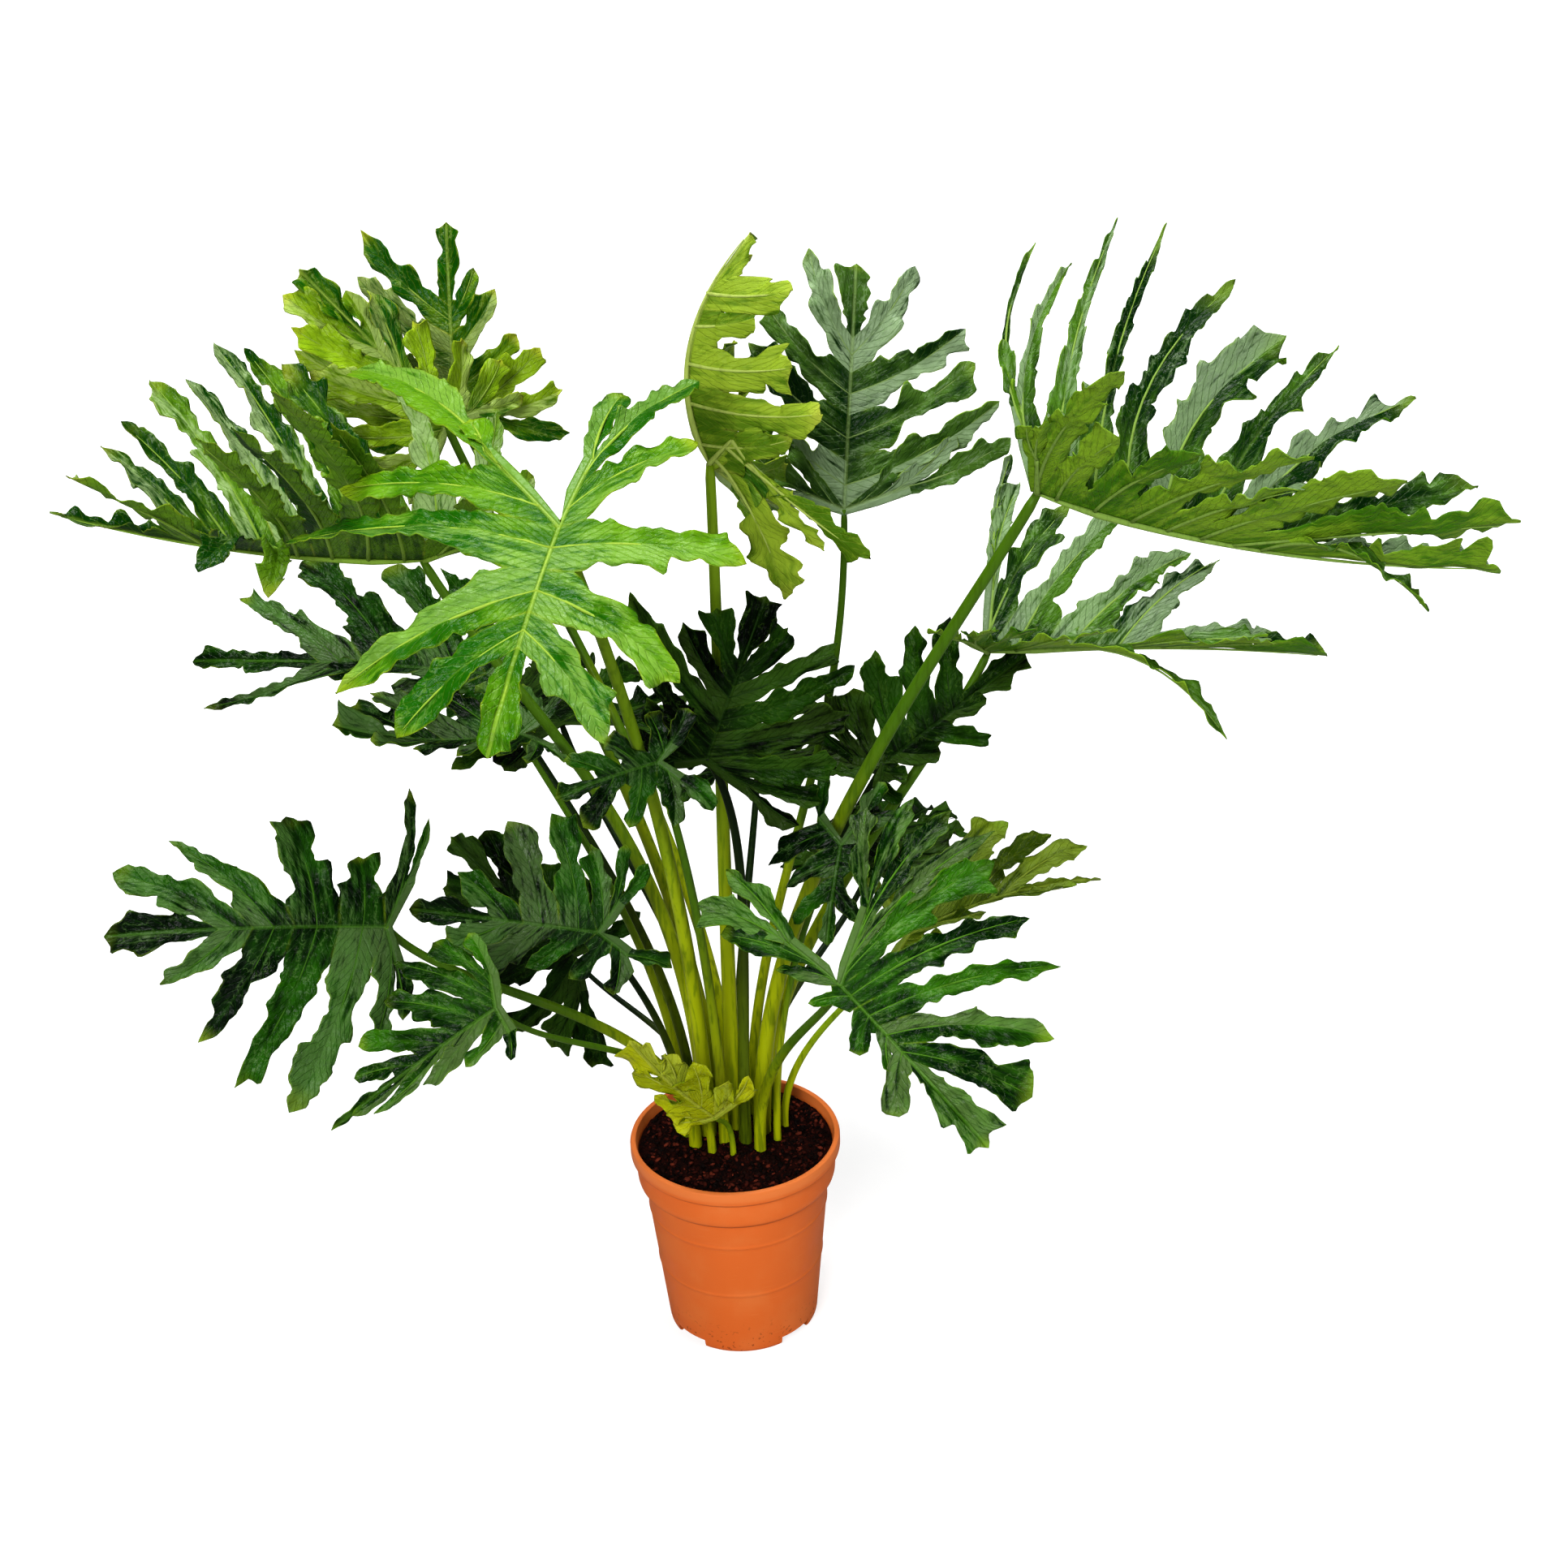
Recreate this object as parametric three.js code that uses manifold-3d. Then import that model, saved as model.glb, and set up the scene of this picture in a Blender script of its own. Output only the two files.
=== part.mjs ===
// A lacy tree philodendron in a round nursery pot.
// Millimetres, +Z up. The origin is the middle of the pot's underside and -Y is the front.
import * as THREE from 'three';
import * as BufferGeometryUtils from 'three/addons/utils/BufferGeometryUtils.js';
import Module from 'manifold-3d';

const wasm = await Module();
wasm.setup();

// Pot
const POT_HEIGHT = 216;
const RIM_RADIUS = 105;
const RIM_HEIGHT = 15;
const RIM_INNER_RADIUS = 99;
const COLLAR_RADIUS = 99.5;
const COLLAR_FOOT = 173;
const SHOULDER_HEIGHT = 165;
const BODY_TOP_RADIUS = 93;
const BODY_FOOT_RADIUS = 76;
const WALL = 2.4;
const BODY_FOOT_ROUND = 3;
const RIB_HEIGHTS = [77, 140];
const RIB_DEPTH = 0.8;
const RIB_HALF_WIDTH = 2;
const COLLAR_ROUND = 2;
const RIM_ROUND = 3;
const FOOT_RISE = 13;
const FLOOR_DISC_RADIUS = 38;
const FLOOR_SLOPE_WIDTH = 4;
const FLOOR_STEP = 1;
const FOOT_NOTCHES = 4;
const FOOT_NOTCH_WIDTH = 38;
const FOOT_NOTCH_HEIGHT = 10;
const FOOT_NOTCH_DEPTH = 8;
const DRAIN_HOLES = 6;
const DRAIN_RADIUS = 5;
const DRAIN_CIRCLE = 54;
const DRAIN_SIDES = 10;
const POT_SIDES = 36;

// Soil
const SOIL_EDGE_HEIGHT = 205;
const SOIL_MOUND = 5;
const SOIL_LUMP = 2;
const SOIL_GAP = 0.35;
const SOIL_SIDES = 32;
const SOIL_RINGS = [0.8, 0.6, 0.4, 0.2, 0];

// Petioles
const ROOT_DEPTH = 43;
const ROOT_RISE = 6;
const HOLE_CLEARANCE = 0.35;
const HOLE_SIDES = 10;
const CROWN_BACK = 22;
const PETIOLE_FOOT_RADIUS = 7.4;
const PETIOLE_TOP_RADIUS = 4;
const SHEATH_SWELL = 0.1;
const PETIOLE_SIDES = 6;
const PETIOLE_RINGS = 11;
const BLADE_CLEARANCE = 0.3;
const SEAT_POINTS = 24;
const PETIOLE_RISE = 0.35;
const PETIOLE_REACH = 0.25;
const PETIOLE_ARCHING = 0.6;

// Blades
const BLADE_THICKNESS = 2.2;
const SINUS_DEPTH = 0.21;
const LOBE_ROWS = [0.46, 0.84];
const LOBE_FULLNESS = [0.85, 0.95];
const LOBE_BEND = 12;
const LOBE_WIDENING = 0.02;
const LAST_LOBE = 0.56;
const END_LOBE = 1.1;
const LOBE_CROWDING = 1.15;
const WING = 8;
const HEEL = 6;
const RUFFLE_WAVES = 2.3;
const RUFFLE_HEIGHT = 0.35;
const NEIGHBOUR_ROOM = 0.42;

// Every leaf: its petiole's root on the soil, the junction where petiole and blade meet, the
// blade's tip and the way its upper face looks. Each half has the length and turn of its hind
// vein, then its lobes, hindmost first: length, turn, how far it is raised, how broad it is for
// the leaf, and how much it bends. Turns are degrees from the midrib's tip; laterals counts the
// lobes that stand on the midrib.
const LEAVES = [
  {
    name: 'front', tone: 'bright', root: [-26.7, -13.6],
    junction: [-105, -210, 933], tip: [-156, -370, 812], face: [-0.1, -0.75, 0.65],
    arch: 8, fold: 0, droop: 10, width: 14, stem: 1.1, cut: 0.17, laterals: 3,
    right: {
      vein: [110, 130],
      lobes: [
        [45, 145], [255, 127], [180, 94], [230, 89], [170, 52], [125, 36],
      ],
    },
    left: {
      vein: [75, 175],
      lobes: [
        [85, 180], [150, 158], [125, 140], [150, 100], [135, 67], [115, 46],
      ],
    },
  },
  {
    name: 'far_left', tone: 'middle', root: [-29.3, 6.2],
    junction: [-255, 45, 818], tip: [-562, -15, 895], face: [0.05, -0.1, 1],
    arch: -12, fold: 45, droop: 0, width: 8.5, stem: 1.1, rise: 0.5, last: 0.62, laterals: 7, end: 0.9,
    right: {
      vein: [70, 135],
      lobes: [
        [60, 140], [115, 100], [175, 75], [218, 56, 0, 1.1], [228, 57], [226, 58, 0, 1.15],
        [189, 54], [183, 52], [145, 43, 0, 0.9], [120, 36],
      ],
    },
    left: {
      vein: [75, 125],
      lobes: [
        [70, 140], [100, 108], [150, 92], [258, 69, 28, 1.1], [366, 73, 0, 1.2], [291, 69, 0, 1.1],
        [255, 67], [138, 91, -95, 1.1], [133, 77, -75, 1.1], [155, 40, 0, 1.1],
      ],
    },
  },
  {
    name: 'upper_left_back', tone: 'middle', root: [-1, 30],
    junction: [-244, 265, 891], tip: [-240, 305, 1064], face: [0, -0.9, 0.3],
    arch: 5, fold: 0, droop: 5, width: 8, stem: 0.9, laterals: 3,
    right: { vein: [35, 100], lobes: [[78, 104], [82, 74], [97, 52], [82, 50], [75, 36], [55, 26]] },
    left: { vein: [35, 110], lobes: [[62, 112], [105, 80], [160, 67], [143, 60], [115, 50], [120, 44]] },
  },
  {
    name: 'upper_left_front', tone: 'middle', root: [-19.3, 23],
    junction: [-245, 200, 899], tip: [-363, 190, 1050], face: [0.3, -0.8, 0.5],
    arch: 5, fold: 0, droop: 5, width: 10, stem: 1, laterals: 3,
    right: { vein: [35, 115], lobes: [[52, 120], [62, 80], [76, 53], [80, 34], [84, 23], [60, 16]] },
    left: { vein: [35, 110], lobes: [[52, 108], [90, 68], [118, 47], [120, 31], [112, 23], [98, 16]] },
  },
  {
    name: 'top', tone: 'bright', root: [0, 0],
    junction: [9, 40, 898], tip: [52, 30, 1103], face: [0.95, 0.3, 0],
    arch: -36, fold: 52, droop: 0, width: 13, stem: 1.15, arching: 0, last: 0.8, laterals: 5,
    cut: 0.34, end: 0.9,
    right: {
      vein: [35, 130],
      lobes: [
        [70, 145, 0, 0.7], [110, 118, 0, 0.8], [115, 100, 0, 0.8], [90, 68], [80, 56], [60, 46],
        [50, 40, 0, 0.8], [45, 48, 0, 0.8],
      ],
    },
    left: {
      vein: [47, 47],
      lobes: [
        [106, 143, 0, 0.7], [138, 121, 0, 1.1], [130, 160, 0, 1.4, -16], [98, 72, 0, 1.1],
        [124, 79, 0, 1.1], [94, 77, 0, 1.1], [50, 67, 0, 1.2], [69, 73, 0, 0.9],
      ],
    },
  },
  {
    name: 'upper_right', tone: 'middle', root: [18.5, 23.6],
    junction: [129, 150, 814], tip: [148, 220, 1029], face: [0, -0.9, 0.3],
    arch: 5, fold: 0, droop: 0, width: 9.5, stem: 0.8, reach: 0.4, arching: 0, laterals: 4, end: 1.5,
    last: 0.7,
    right: {
      vein: [65, 68],
      lobes: [
        [105, 62, 0, 0.9], [82, 44, 0, 0.8], [82, 36, 0, 0.8], [164, 59], [138, 57, 0, 0.95],
        [123, 58], [101, 33],
      ],
    },
    left: {
      vein: [40, 70],
      lobes: [
        [38, 80, 0, 1.1], [68, 58, 0, 1.1], [98, 30, 0, 0.9], [103, 49, 0, 0.9], [128, 49, 0, 1.1],
        [116, 46, 0, 1.15], [106, 25, 0, 0.95],
      ],
    },
  },
  {
    name: 'far_right', tone: 'middle', root: [27.2, -12.7],
    junction: [286, -60, 895], tip: [677, -90, 822], face: [0.1, -0.1, 1],
    arch: -18, fold: 50, droop: 0, width: 12, stem: 1.2, last: 0.52, laterals: 7, end: 1.8,
    right: {
      vein: [60, 100],
      lobes: [
        [50, 110, 0, 0.8], [80, 95, 0, 0.9], [216, 82, 0, 0.9], [130, 78], [155, 67],
        [207, 58, 0, 2.2], [147, 54, 0, 1.4], [199, 50, 0, 2], [228, 23, 0, 1.6],
        [185, 46, -100, 0.7],
      ],
    },
    left: {
      vein: [75, 110],
      lobes: [
        [55, 115, 0, 0.6], [162, 95, 0, 0.22, 30], [188, 88, 0, 0.5, 28], [259, 86, 0, 0.45],
        [265, 84, 0, 0.4], [238, 75, 0, 1, 32], [204, 67, 0, 1.3, 32], [212, 63, 0, 0.8],
        [204, 47, 0, 1, 24], [189, 22, 0, 0.9],
      ],
    },
  },
  {
    name: 'right', tone: 'middle', root: [29.3, 6.2],
    junction: [262, 112, 679], tip: [593, 132, 652], face: [0, -0.1, 1],
    arch: 8, fold: 35, droop: 0, width: 9.5, stem: 1.05, laterals: 4, end: 1.9,
    right: {
      vein: [90, 110],
      lobes: [
        [90, 120], [100, 92], [130, 80], [140, 60], [173, 33, -110, 0.8, -8], [150, 38, 0, 1.2],
        [110, 24, 0, 1.3],
      ],
    },
    left: {
      vein: [90, 82],
      lobes: [
        [130, 79, 0, 0.5], [120, 74, 0, 0.8], [160, 57, 0, 0.9], [180, 52, 0, 0.9], [168, 39],
        [149, 42, 0, 1.05], [117, 7, 0, 1.2],
      ],
    },
  },
  {
    name: 'right_inner', tone: 'dark', root: [38.3, 32.1],
    junction: [159, 70, 585], tip: [299, 120, 671], face: [0, -0.9, 0.4],
    arch: 5, fold: 0, droop: 0, width: 10, stem: 0.7, laterals: 3,
    right: {
      vein: [30, 135],
      lobes: [
        [40, 165], [24, 70], [24, 45], [40, 38], [61, 43, 0, 0.7], [34, 17],
      ],
    },
    left: { vein: [30, 130], lobes: [[55, 100], [70, 82], [73, 70], [100, 66], [100, 60], [90, 54]] },
  },
  {
    name: 'centre', tone: 'dark', root: [10.3, -28.2],
    junction: [-7, -20, 640], tip: [53, 20, 780], face: [0, -0.9, 0.3],
    arch: 5, fold: 0, droop: 0, width: 10, stem: 0.9, laterals: 4,
    right: {
      vein: [45, 105],
      lobes: [
        [60, 108], [80, 85], [110, 68], [130, 56], [132, 47], [110, 43], [65, 26],
      ],
    },
    left: {
      vein: [30, 115],
      lobes: [
        [42, 118], [56, 78], [73, 60], [90, 58], [142, 55], [80, 51], [65, 36],
      ],
    },
  },
  {
    name: 'centre_left', tone: 'middle', root: [-10.3, -28.2],
    junction: [-47, -110, 680], tip: [-133, -150, 668], face: [-0.1, -0.7, 0.7],
    arch: 5, fold: 0, droop: 0, width: 10, stem: 0.8, laterals: 2,
    right: { vein: [25, 145], lobes: [[40, 138], [40, 95], [40, 58], [45, 44]] },
    left: { vein: [25, 118], lobes: [[40, 112], [55, 70], [60, 55], [55, 38]] },
  },
  {
    name: 'left', tone: 'dark', root: [-42.4, 26.5],
    junction: [-223, 150, 660], tip: [-517, 190, 668], face: [0, -0.6, 0.8],
    arch: 10, fold: 0, droop: 10, width: 9.5, stem: 0.85, laterals: 3, end: 1.1,
    right: {
      vein: [45, 125],
      lobes: [
        [65, 92], [95, 67], [130, 57], [145, 54, 0, 1.3], [168, 46, 0, 1.4], [140, 31],
      ],
    },
    left: {
      vein: [40, 140],
      lobes: [
        [42, 126], [50, 80], [60, 52], [66, 34], [68, 7, 0, 0.7], [141, 22, 0, 0.4],
      ],
    },
  },
  {
    name: 'left_low', tone: 'middle', root: [-49.5, 7],
    junction: [-184, 45, 642], tip: [-352, 25, 667], face: [0, -0.25, 1],
    arch: -12, fold: 15, droop: 10, width: 8, stem: 0.7, laterals: 3,
    right: { vein: [35, 135], lobes: [[38, 118], [48, 72], [80, 54], [104, 45], [101, 31], [78, 21]] },
    left: { vein: [35, 130], lobes: [[35, 120], [38, 74], [43, 52], [50, 38], [50, 27], [56, 18]] },
  },
  {
    name: 'lower_left', tone: 'middle', root: [-39.4, -30.8],
    junction: [-295, -130, 539], tip: [-528, -180, 568], face: [0, -0.7, 0.7],
    arch: 10, fold: 0, droop: 10, width: 9.5, stem: 0.9, laterals: 4, last: 0.6, end: 1.5,
    right: {
      vein: [45, 115],
      lobes: [
        [69, 111, 0, 0.42], [116, 99, 0, 0.45], [66, 89, 0, 2], [107, 77, 0, 1.3],
        [122, 44, 0, 0.75], [118, 29, 0, 1.3],
      ],
    },
    left: {
      vein: [35, 102],
      lobes: [
        [50, 95, 0, 0.9], [87, 79, 0, 0.9], [174, 67, 0, 1.05], [156, 62, 0, 1.1], [118, 56],
        [79, 36, 0, 0.85],
      ],
    },
  },
  {
    name: 'low_left', tone: 'middle', root: [-22.7, -44.6],
    junction: [-193, -215, 502], tip: [-335, -270, 421], face: [-0.1, -0.7, 0.7],
    arch: 5, fold: 0, droop: 5, width: 7.5, stem: 0.6, laterals: 3, end: 0.55,
    right: { vein: [30, 114], lobes: [[45, 97], [66, 72], [98, 57], [86, 49], [76, 36], [55, 26]] },
    left: {
      vein: [25, 85],
      lobes: [
        [24, 60, 0, 0.9], [50, 17, 0, 0.8], [71, 15, 0, 0.8], [83, 9, 0, 0.6], [68, 2, 0, 0.5],
      ],
    },
  },
  {
    name: 'back_left', tone: 'dark', root: [-32.5, 38],
    junction: [-164, 150, 342], tip: [-289, 230, 443], face: [-0.2, -0.8, 0.5],
    arch: 5, fold: 0, droop: 5, width: 12, stem: 0.6, laterals: 3,
    right: { vein: [40, 105], lobes: [[43, 107], [54, 71], [77, 48], [82, 36], [77, 29], [75, 24]] },
    left: { vein: [40, 145], lobes: [[80, 140], [75, 109], [100, 90], [85, 75], [75, 56], [75, 37]] },
  },
  {
    name: 'middle_left', tone: 'dark', root: [-48.3, -12.9],
    junction: [-114, -70, 491], tip: [-280, -90, 534], face: [0, -0.8, 0.5],
    arch: 5, fold: 0, droop: 5, width: 10, stem: 0.7, laterals: 3,
    right: { vein: [35, 117], lobes: [[45, 122], [60, 93], [74, 74], [110, 70], [100, 65], [64, 37]] },
    left: { vein: [35, 150], lobes: [[45, 172], [42, 90], [50, 54], [60, 42], [65, 40], [61, 26]] },
  },
  {
    name: 'lower_right', tone: 'middle', root: [25, -43.3],
    junction: [106, -160, 478], tip: [229, -250, 362], face: [0.05, -0.8, 0.6],
    arch: 5, fold: 0, droop: 5, width: 10, stem: 0.85, laterals: 4, last: 0.46, end: 1.25,
    right: {
      vein: [60, 172],
      lobes: [
        [90, 183, 0, 1.1], [101, 159, 0, 1.1], [89, 151, 0, 0.9], [51, 142, 0, 0.7],
        [38, 123, 0, 0.8], [36, 57, 0, 1.1], [32, 38, 0, 0.6], [57, 45, 0, 1.2],
      ],
    },
    left: {
      vein: [75, 118],
      lobes: [
        [97, 138], [123, 116, 0, 1.1], [149, 102, 0, 1.1], [178, 90, 0, 1.2], [174, 86],
        [177, 72, 0, 0.9], [178, 63, 0, 0.7], [149, 47, 0, 1, 16], [121, 29, 0, 1.2],
      ],
    },
  },
  {
    name: 'low_right_back', tone: 'bright', root: [49.9, -3.5],
    junction: [177, 0, 436], tip: [365, 40, 466], face: [0, -0.4, 1],
    arch: 18, fold: 20, droop: 0, width: 9, stem: 0.6, laterals: 3, end: 0.45,
    right: {
      vein: [30, 130],
      lobes: [
        [28, 124, 0, 0.6], [30, 70, 0, 0.6], [36, 30, 0, 0.6], [55, 16, 0, 0.6], [60, -6, 0, 0.5],
        [74, 7, 0, 0.5],
      ],
    },
    left: {
      vein: [45, 102],
      lobes: [
        [30, 120, 0, 0.8], [45, 50, 0, 0.8], [74, 31, 0, 0.8], [126, 34, 0, 1.15],
        [114, 26, 0, 0.9], [107, 20, 0, 0.7],
      ],
    },
  },
  {
    name: 'low_right', tone: 'middle', root: [42.4, -26.5],
    junction: [112, -50, 561], tip: [96, -95, 482], face: [-0.3, -0.8, 0.3],
    arch: 5, fold: 0, droop: 5, width: 8, stem: 0.55, laterals: 2,
    right: { vein: [35, 130], lobes: [[40, 175], [67, 56], [56, 57], [50, 42]] },
    left: { vein: [35, 150], lobes: [[35, 160], [45, 115], [40, 76], [40, 44]] },
  },
  {
    name: 'young', tone: 'bright', root: [-1.7, -50],
    junction: [-17, -78, 288], tip: [-89, -116, 399], face: [-0.3, -0.8, 0.2],
    arch: 5, fold: 0, droop: 5, width: 15, stem: 0.5, laterals: 2, cut: 0.34, end: 0.9,
    right: { vein: [30, 70], lobes: [[40, 56], [50, 40], [70, 28], [50, 22]] },
    left: { vein: [15, 80], lobes: [[25, 65], [40, 38], [50, 26], [50, 18]] },
  },
  {
    name: 'back_middle', tone: 'dark', root: [3.5, 49.9],
    junction: [36, 265, 500], tip: [-5, 470, 470], face: [0, 0.3, 1],
    arch: 10, fold: 10, droop: 10, width: 12, stem: 0.8, laterals: 3,
    right: {
      vein: [60, 125],
      lobes: [
        [70, 130], [110, 108], [135, 88], [140, 66], [130, 52], [110, 36],
      ],
    },
    left: { vein: [60, 125], lobes: [[75, 132], [115, 106], [130, 86], [145, 64], [125, 50], [115, 35]] },
  },
  {
    name: 'back_right', tone: 'dark', root: [23.5, 44.1],
    junction: [150, 215, 400], tip: [225, 390, 375], face: [0.2, 0.2, 1],
    arch: 10, fold: 10, droop: 10, width: 12, stem: 0.75, laterals: 3,
    right: { vein: [55, 125], lobes: [[60, 130], [85, 108], [105, 86], [95, 66], [85, 52], [75, 36]] },
    left: { vein: [55, 125], lobes: [[45, 132], [60, 106], [70, 88], [75, 64], [75, 50], [70, 35]] },
  },
  {
    name: 'back_high', tone: 'dark', root: [-15.5, 47.6],
    junction: [-165, 250, 560], tip: [-265, 430, 545], face: [-0.1, 0.3, 1],
    arch: 10, fold: 10, droop: 10, width: 12, stem: 0.85, laterals: 3,
    right: {
      vein: [60, 125],
      lobes: [
        [75, 130], [110, 108], [135, 88], [140, 66], [130, 52], [110, 36],
      ],
    },
    left: { vein: [60, 125], lobes: [[70, 132], [115, 106], [140, 86], [135, 64], [125, 50], [115, 35]] },
  },
];

const COLOURS = {
  pot: 0xdd6a30,
  soil: 0x26110b,
  petiole: 0x76861c,
};
const BLADE_COLOURS = { bright: 0x6fa324, middle: 0x2c5f14, dark: 0x16300c };

// A repeatable draw between 0 and 1
function draw(number) {
  const swing = Math.sin(number * 12.9898) * 43758.5453;
  return swing - Math.floor(swing);
}

// Closed solids for cutting and joining
function toSolid(geometry) {
  const bare = geometry.clone();
  bare.deleteAttribute('normal');
  bare.deleteAttribute('uv');
  const merged = BufferGeometryUtils.mergeVertices(bare, 1e-3);
  const mesh = new wasm.Mesh({
    numProp: 3,
    vertProperties: new Float32Array(merged.attributes.position.array),
    triVerts: new Uint32Array(merged.index.array),
  });
  return new wasm.Manifold(mesh);
}

function toGeometry(solid) {
  const mesh = solid.getMesh();
  const geometry = new THREE.BufferGeometry();
  geometry.setAttribute('position', new THREE.BufferAttribute(mesh.vertProperties, 3));
  geometry.setIndex(new THREE.BufferAttribute(mesh.triVerts, 1));
  return geometry;
}

// The pot: a turned wall with a rolled rim, a collar, two raised lines and a notched foot. Its
// floor stands on a middle disc and on the foot, with a raised ring between them for drainage.
function potGeometry() {
  const rimFoot = POT_HEIGHT - RIM_HEIGHT;
  const floor = FOOT_RISE + WALL;
  const profile = [
    [0, 0],
    [FLOOR_DISC_RADIUS, 0],
    [FLOOR_DISC_RADIUS + FLOOR_SLOPE_WIDTH, FOOT_RISE],
    [BODY_FOOT_RADIUS - FOOT_NOTCH_DEPTH, FOOT_RISE],
    [BODY_FOOT_RADIUS - FOOT_NOTCH_DEPTH, 0],
    [BODY_FOOT_RADIUS - BODY_FOOT_ROUND, 0],
    [BODY_FOOT_RADIUS, BODY_FOOT_ROUND],
  ];
  for (const z of RIB_HEIGHTS) {
    profile.push([bodyRadius(z - RIB_HALF_WIDTH), z - RIB_HALF_WIDTH]);
    profile.push([bodyRadius(z) + RIB_DEPTH, z]);
    profile.push([bodyRadius(z + RIB_HALF_WIDTH), z + RIB_HALF_WIDTH]);
  }
  profile.push([BODY_TOP_RADIUS, COLLAR_FOOT - 2 * COLLAR_ROUND]);
  profile.push([COLLAR_RADIUS - COLLAR_ROUND, COLLAR_FOOT - COLLAR_ROUND]);
  profile.push([COLLAR_RADIUS - COLLAR_ROUND / 2, COLLAR_FOOT + COLLAR_ROUND]);
  profile.push([COLLAR_RADIUS, rimFoot]);
  profile.push([RIM_RADIUS - RIM_ROUND / 3, rimFoot]);
  profile.push([RIM_RADIUS, rimFoot + RIM_ROUND]);
  profile.push([RIM_RADIUS, POT_HEIGHT - RIM_ROUND]);
  profile.push([RIM_RADIUS - RIM_ROUND, POT_HEIGHT]);
  profile.push([RIM_INNER_RADIUS, POT_HEIGHT]);
  profile.push([COLLAR_RADIUS - WALL, rimFoot]);
  profile.push([innerRadius(SHOULDER_HEIGHT), SHOULDER_HEIGHT]);
  profile.push([innerRadius(floor), floor]);
  profile.push([FLOOR_DISC_RADIUS + FLOOR_SLOPE_WIDTH - FLOOR_STEP, floor]);
  profile.push([FLOOR_DISC_RADIUS - FLOOR_STEP, WALL]);
  profile.push([0, WALL]);
  const points = profile.map(([r, z]) => new THREE.Vector2(r, z));
  const turned = new THREE.LatheGeometry(points, POT_SIDES);
  turned.rotateX(Math.PI / 2);
  return turned;
}

// The outside and the inside of the pot's wall at a height
function bodyRadius(z) {
  return BODY_FOOT_RADIUS + (BODY_TOP_RADIUS - BODY_FOOT_RADIUS) * z / COLLAR_FOOT;
}

function innerRadius(z) {
  return bodyRadius(z) - WALL;
}

function makePot() {
  let pot = toSolid(potGeometry());
  for (let i = 0; i < FOOT_NOTCHES; i += 1) {
    const angle = (i + 0.5) * 2 * Math.PI / FOOT_NOTCHES;
    const notch = new THREE.BoxGeometry(3 * FOOT_NOTCH_DEPTH, FOOT_NOTCH_WIDTH, 2 * FOOT_NOTCH_HEIGHT);
    notch.translate(BODY_FOOT_RADIUS, 0, 0);
    notch.rotateZ(angle);
    pot = pot.subtract(toSolid(notch));
  }
  for (let i = 0; i < DRAIN_HOLES; i += 1) {
    const angle = i * 2 * Math.PI / DRAIN_HOLES;
    const drain = new THREE.CylinderGeometry(DRAIN_RADIUS, DRAIN_RADIUS, 4 * FOOT_RISE, DRAIN_SIDES);
    drain.rotateX(Math.PI / 2);
    drain.translate(DRAIN_CIRCLE * Math.cos(angle), DRAIN_CIRCLE * Math.sin(angle), 0);
    pot = pot.subtract(toSolid(drain));
  }
  return toGeometry(pot);
}

// The soil: a plug that fills the pot, with a lumpy mound on top
function soilLump(x, y) {
  return Math.sin(0.21 * x + 1) * Math.cos(0.17 * y) + 0.6 * Math.sin(0.11 * x - 0.19 * y);
}

function soilGeometry() {
  const foot = FOOT_RISE + WALL + SOIL_GAP;
  const step = FLOOR_STEP + 2 * SOIL_GAP;
  const edge = COLLAR_RADIUS - WALL - 2 * SOIL_GAP;
  const profile = [
    [0, WALL + SOIL_GAP],
    [FLOOR_DISC_RADIUS - step, WALL + SOIL_GAP],
    [FLOOR_DISC_RADIUS + FLOOR_SLOPE_WIDTH - step, foot],
    [innerRadius(foot) - SOIL_GAP, foot],
    [innerRadius(SHOULDER_HEIGHT) - SOIL_GAP, SHOULDER_HEIGHT],
    [edge, POT_HEIGHT - RIM_HEIGHT],
    [edge, SOIL_EDGE_HEIGHT],
  ];
  for (const share of SOIL_RINGS) {
    profile.push([share * edge, SOIL_EDGE_HEIGHT + SOIL_MOUND * (1 - share ** 2)]);
  }
  const points = profile.map(([r, z]) => new THREE.Vector2(r, z));
  const turned = new THREE.LatheGeometry(points, SOIL_SIDES);
  turned.rotateX(Math.PI / 2);
  const place = turned.attributes.position;
  for (let i = 0; i < place.count; i += 1) {
    const x = place.getX(i);
    const y = place.getY(i);
    const z = place.getZ(i);
    if (z >= SOIL_EDGE_HEIGHT) place.setZ(i, z + SOIL_LUMP * soilLump(x, y));
  }
  return turned;
}

// Each petiole stands in a plain round hole
function makeSoil(leaves) {
  let soil = toSolid(soilGeometry());
  for (const leaf of leaves) {
    const widest = leaf.stem * PETIOLE_FOOT_RADIUS * (1 + SHEATH_SWELL);
    const radius = (widest + HOLE_CLEARANCE) / Math.cos(Math.PI / HOLE_SIDES);
    const hole = new THREE.CylinderGeometry(radius, radius, 2 * ROOT_DEPTH, HOLE_SIDES);
    hole.rotateX(Math.PI / 2);
    hole.translate(leaf.root[0], leaf.root[1] + CROWN_BACK, SOIL_EDGE_HEIGHT);
    soil = soil.subtract(toSolid(hole));
  }
  return toGeometry(soil);
}

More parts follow.
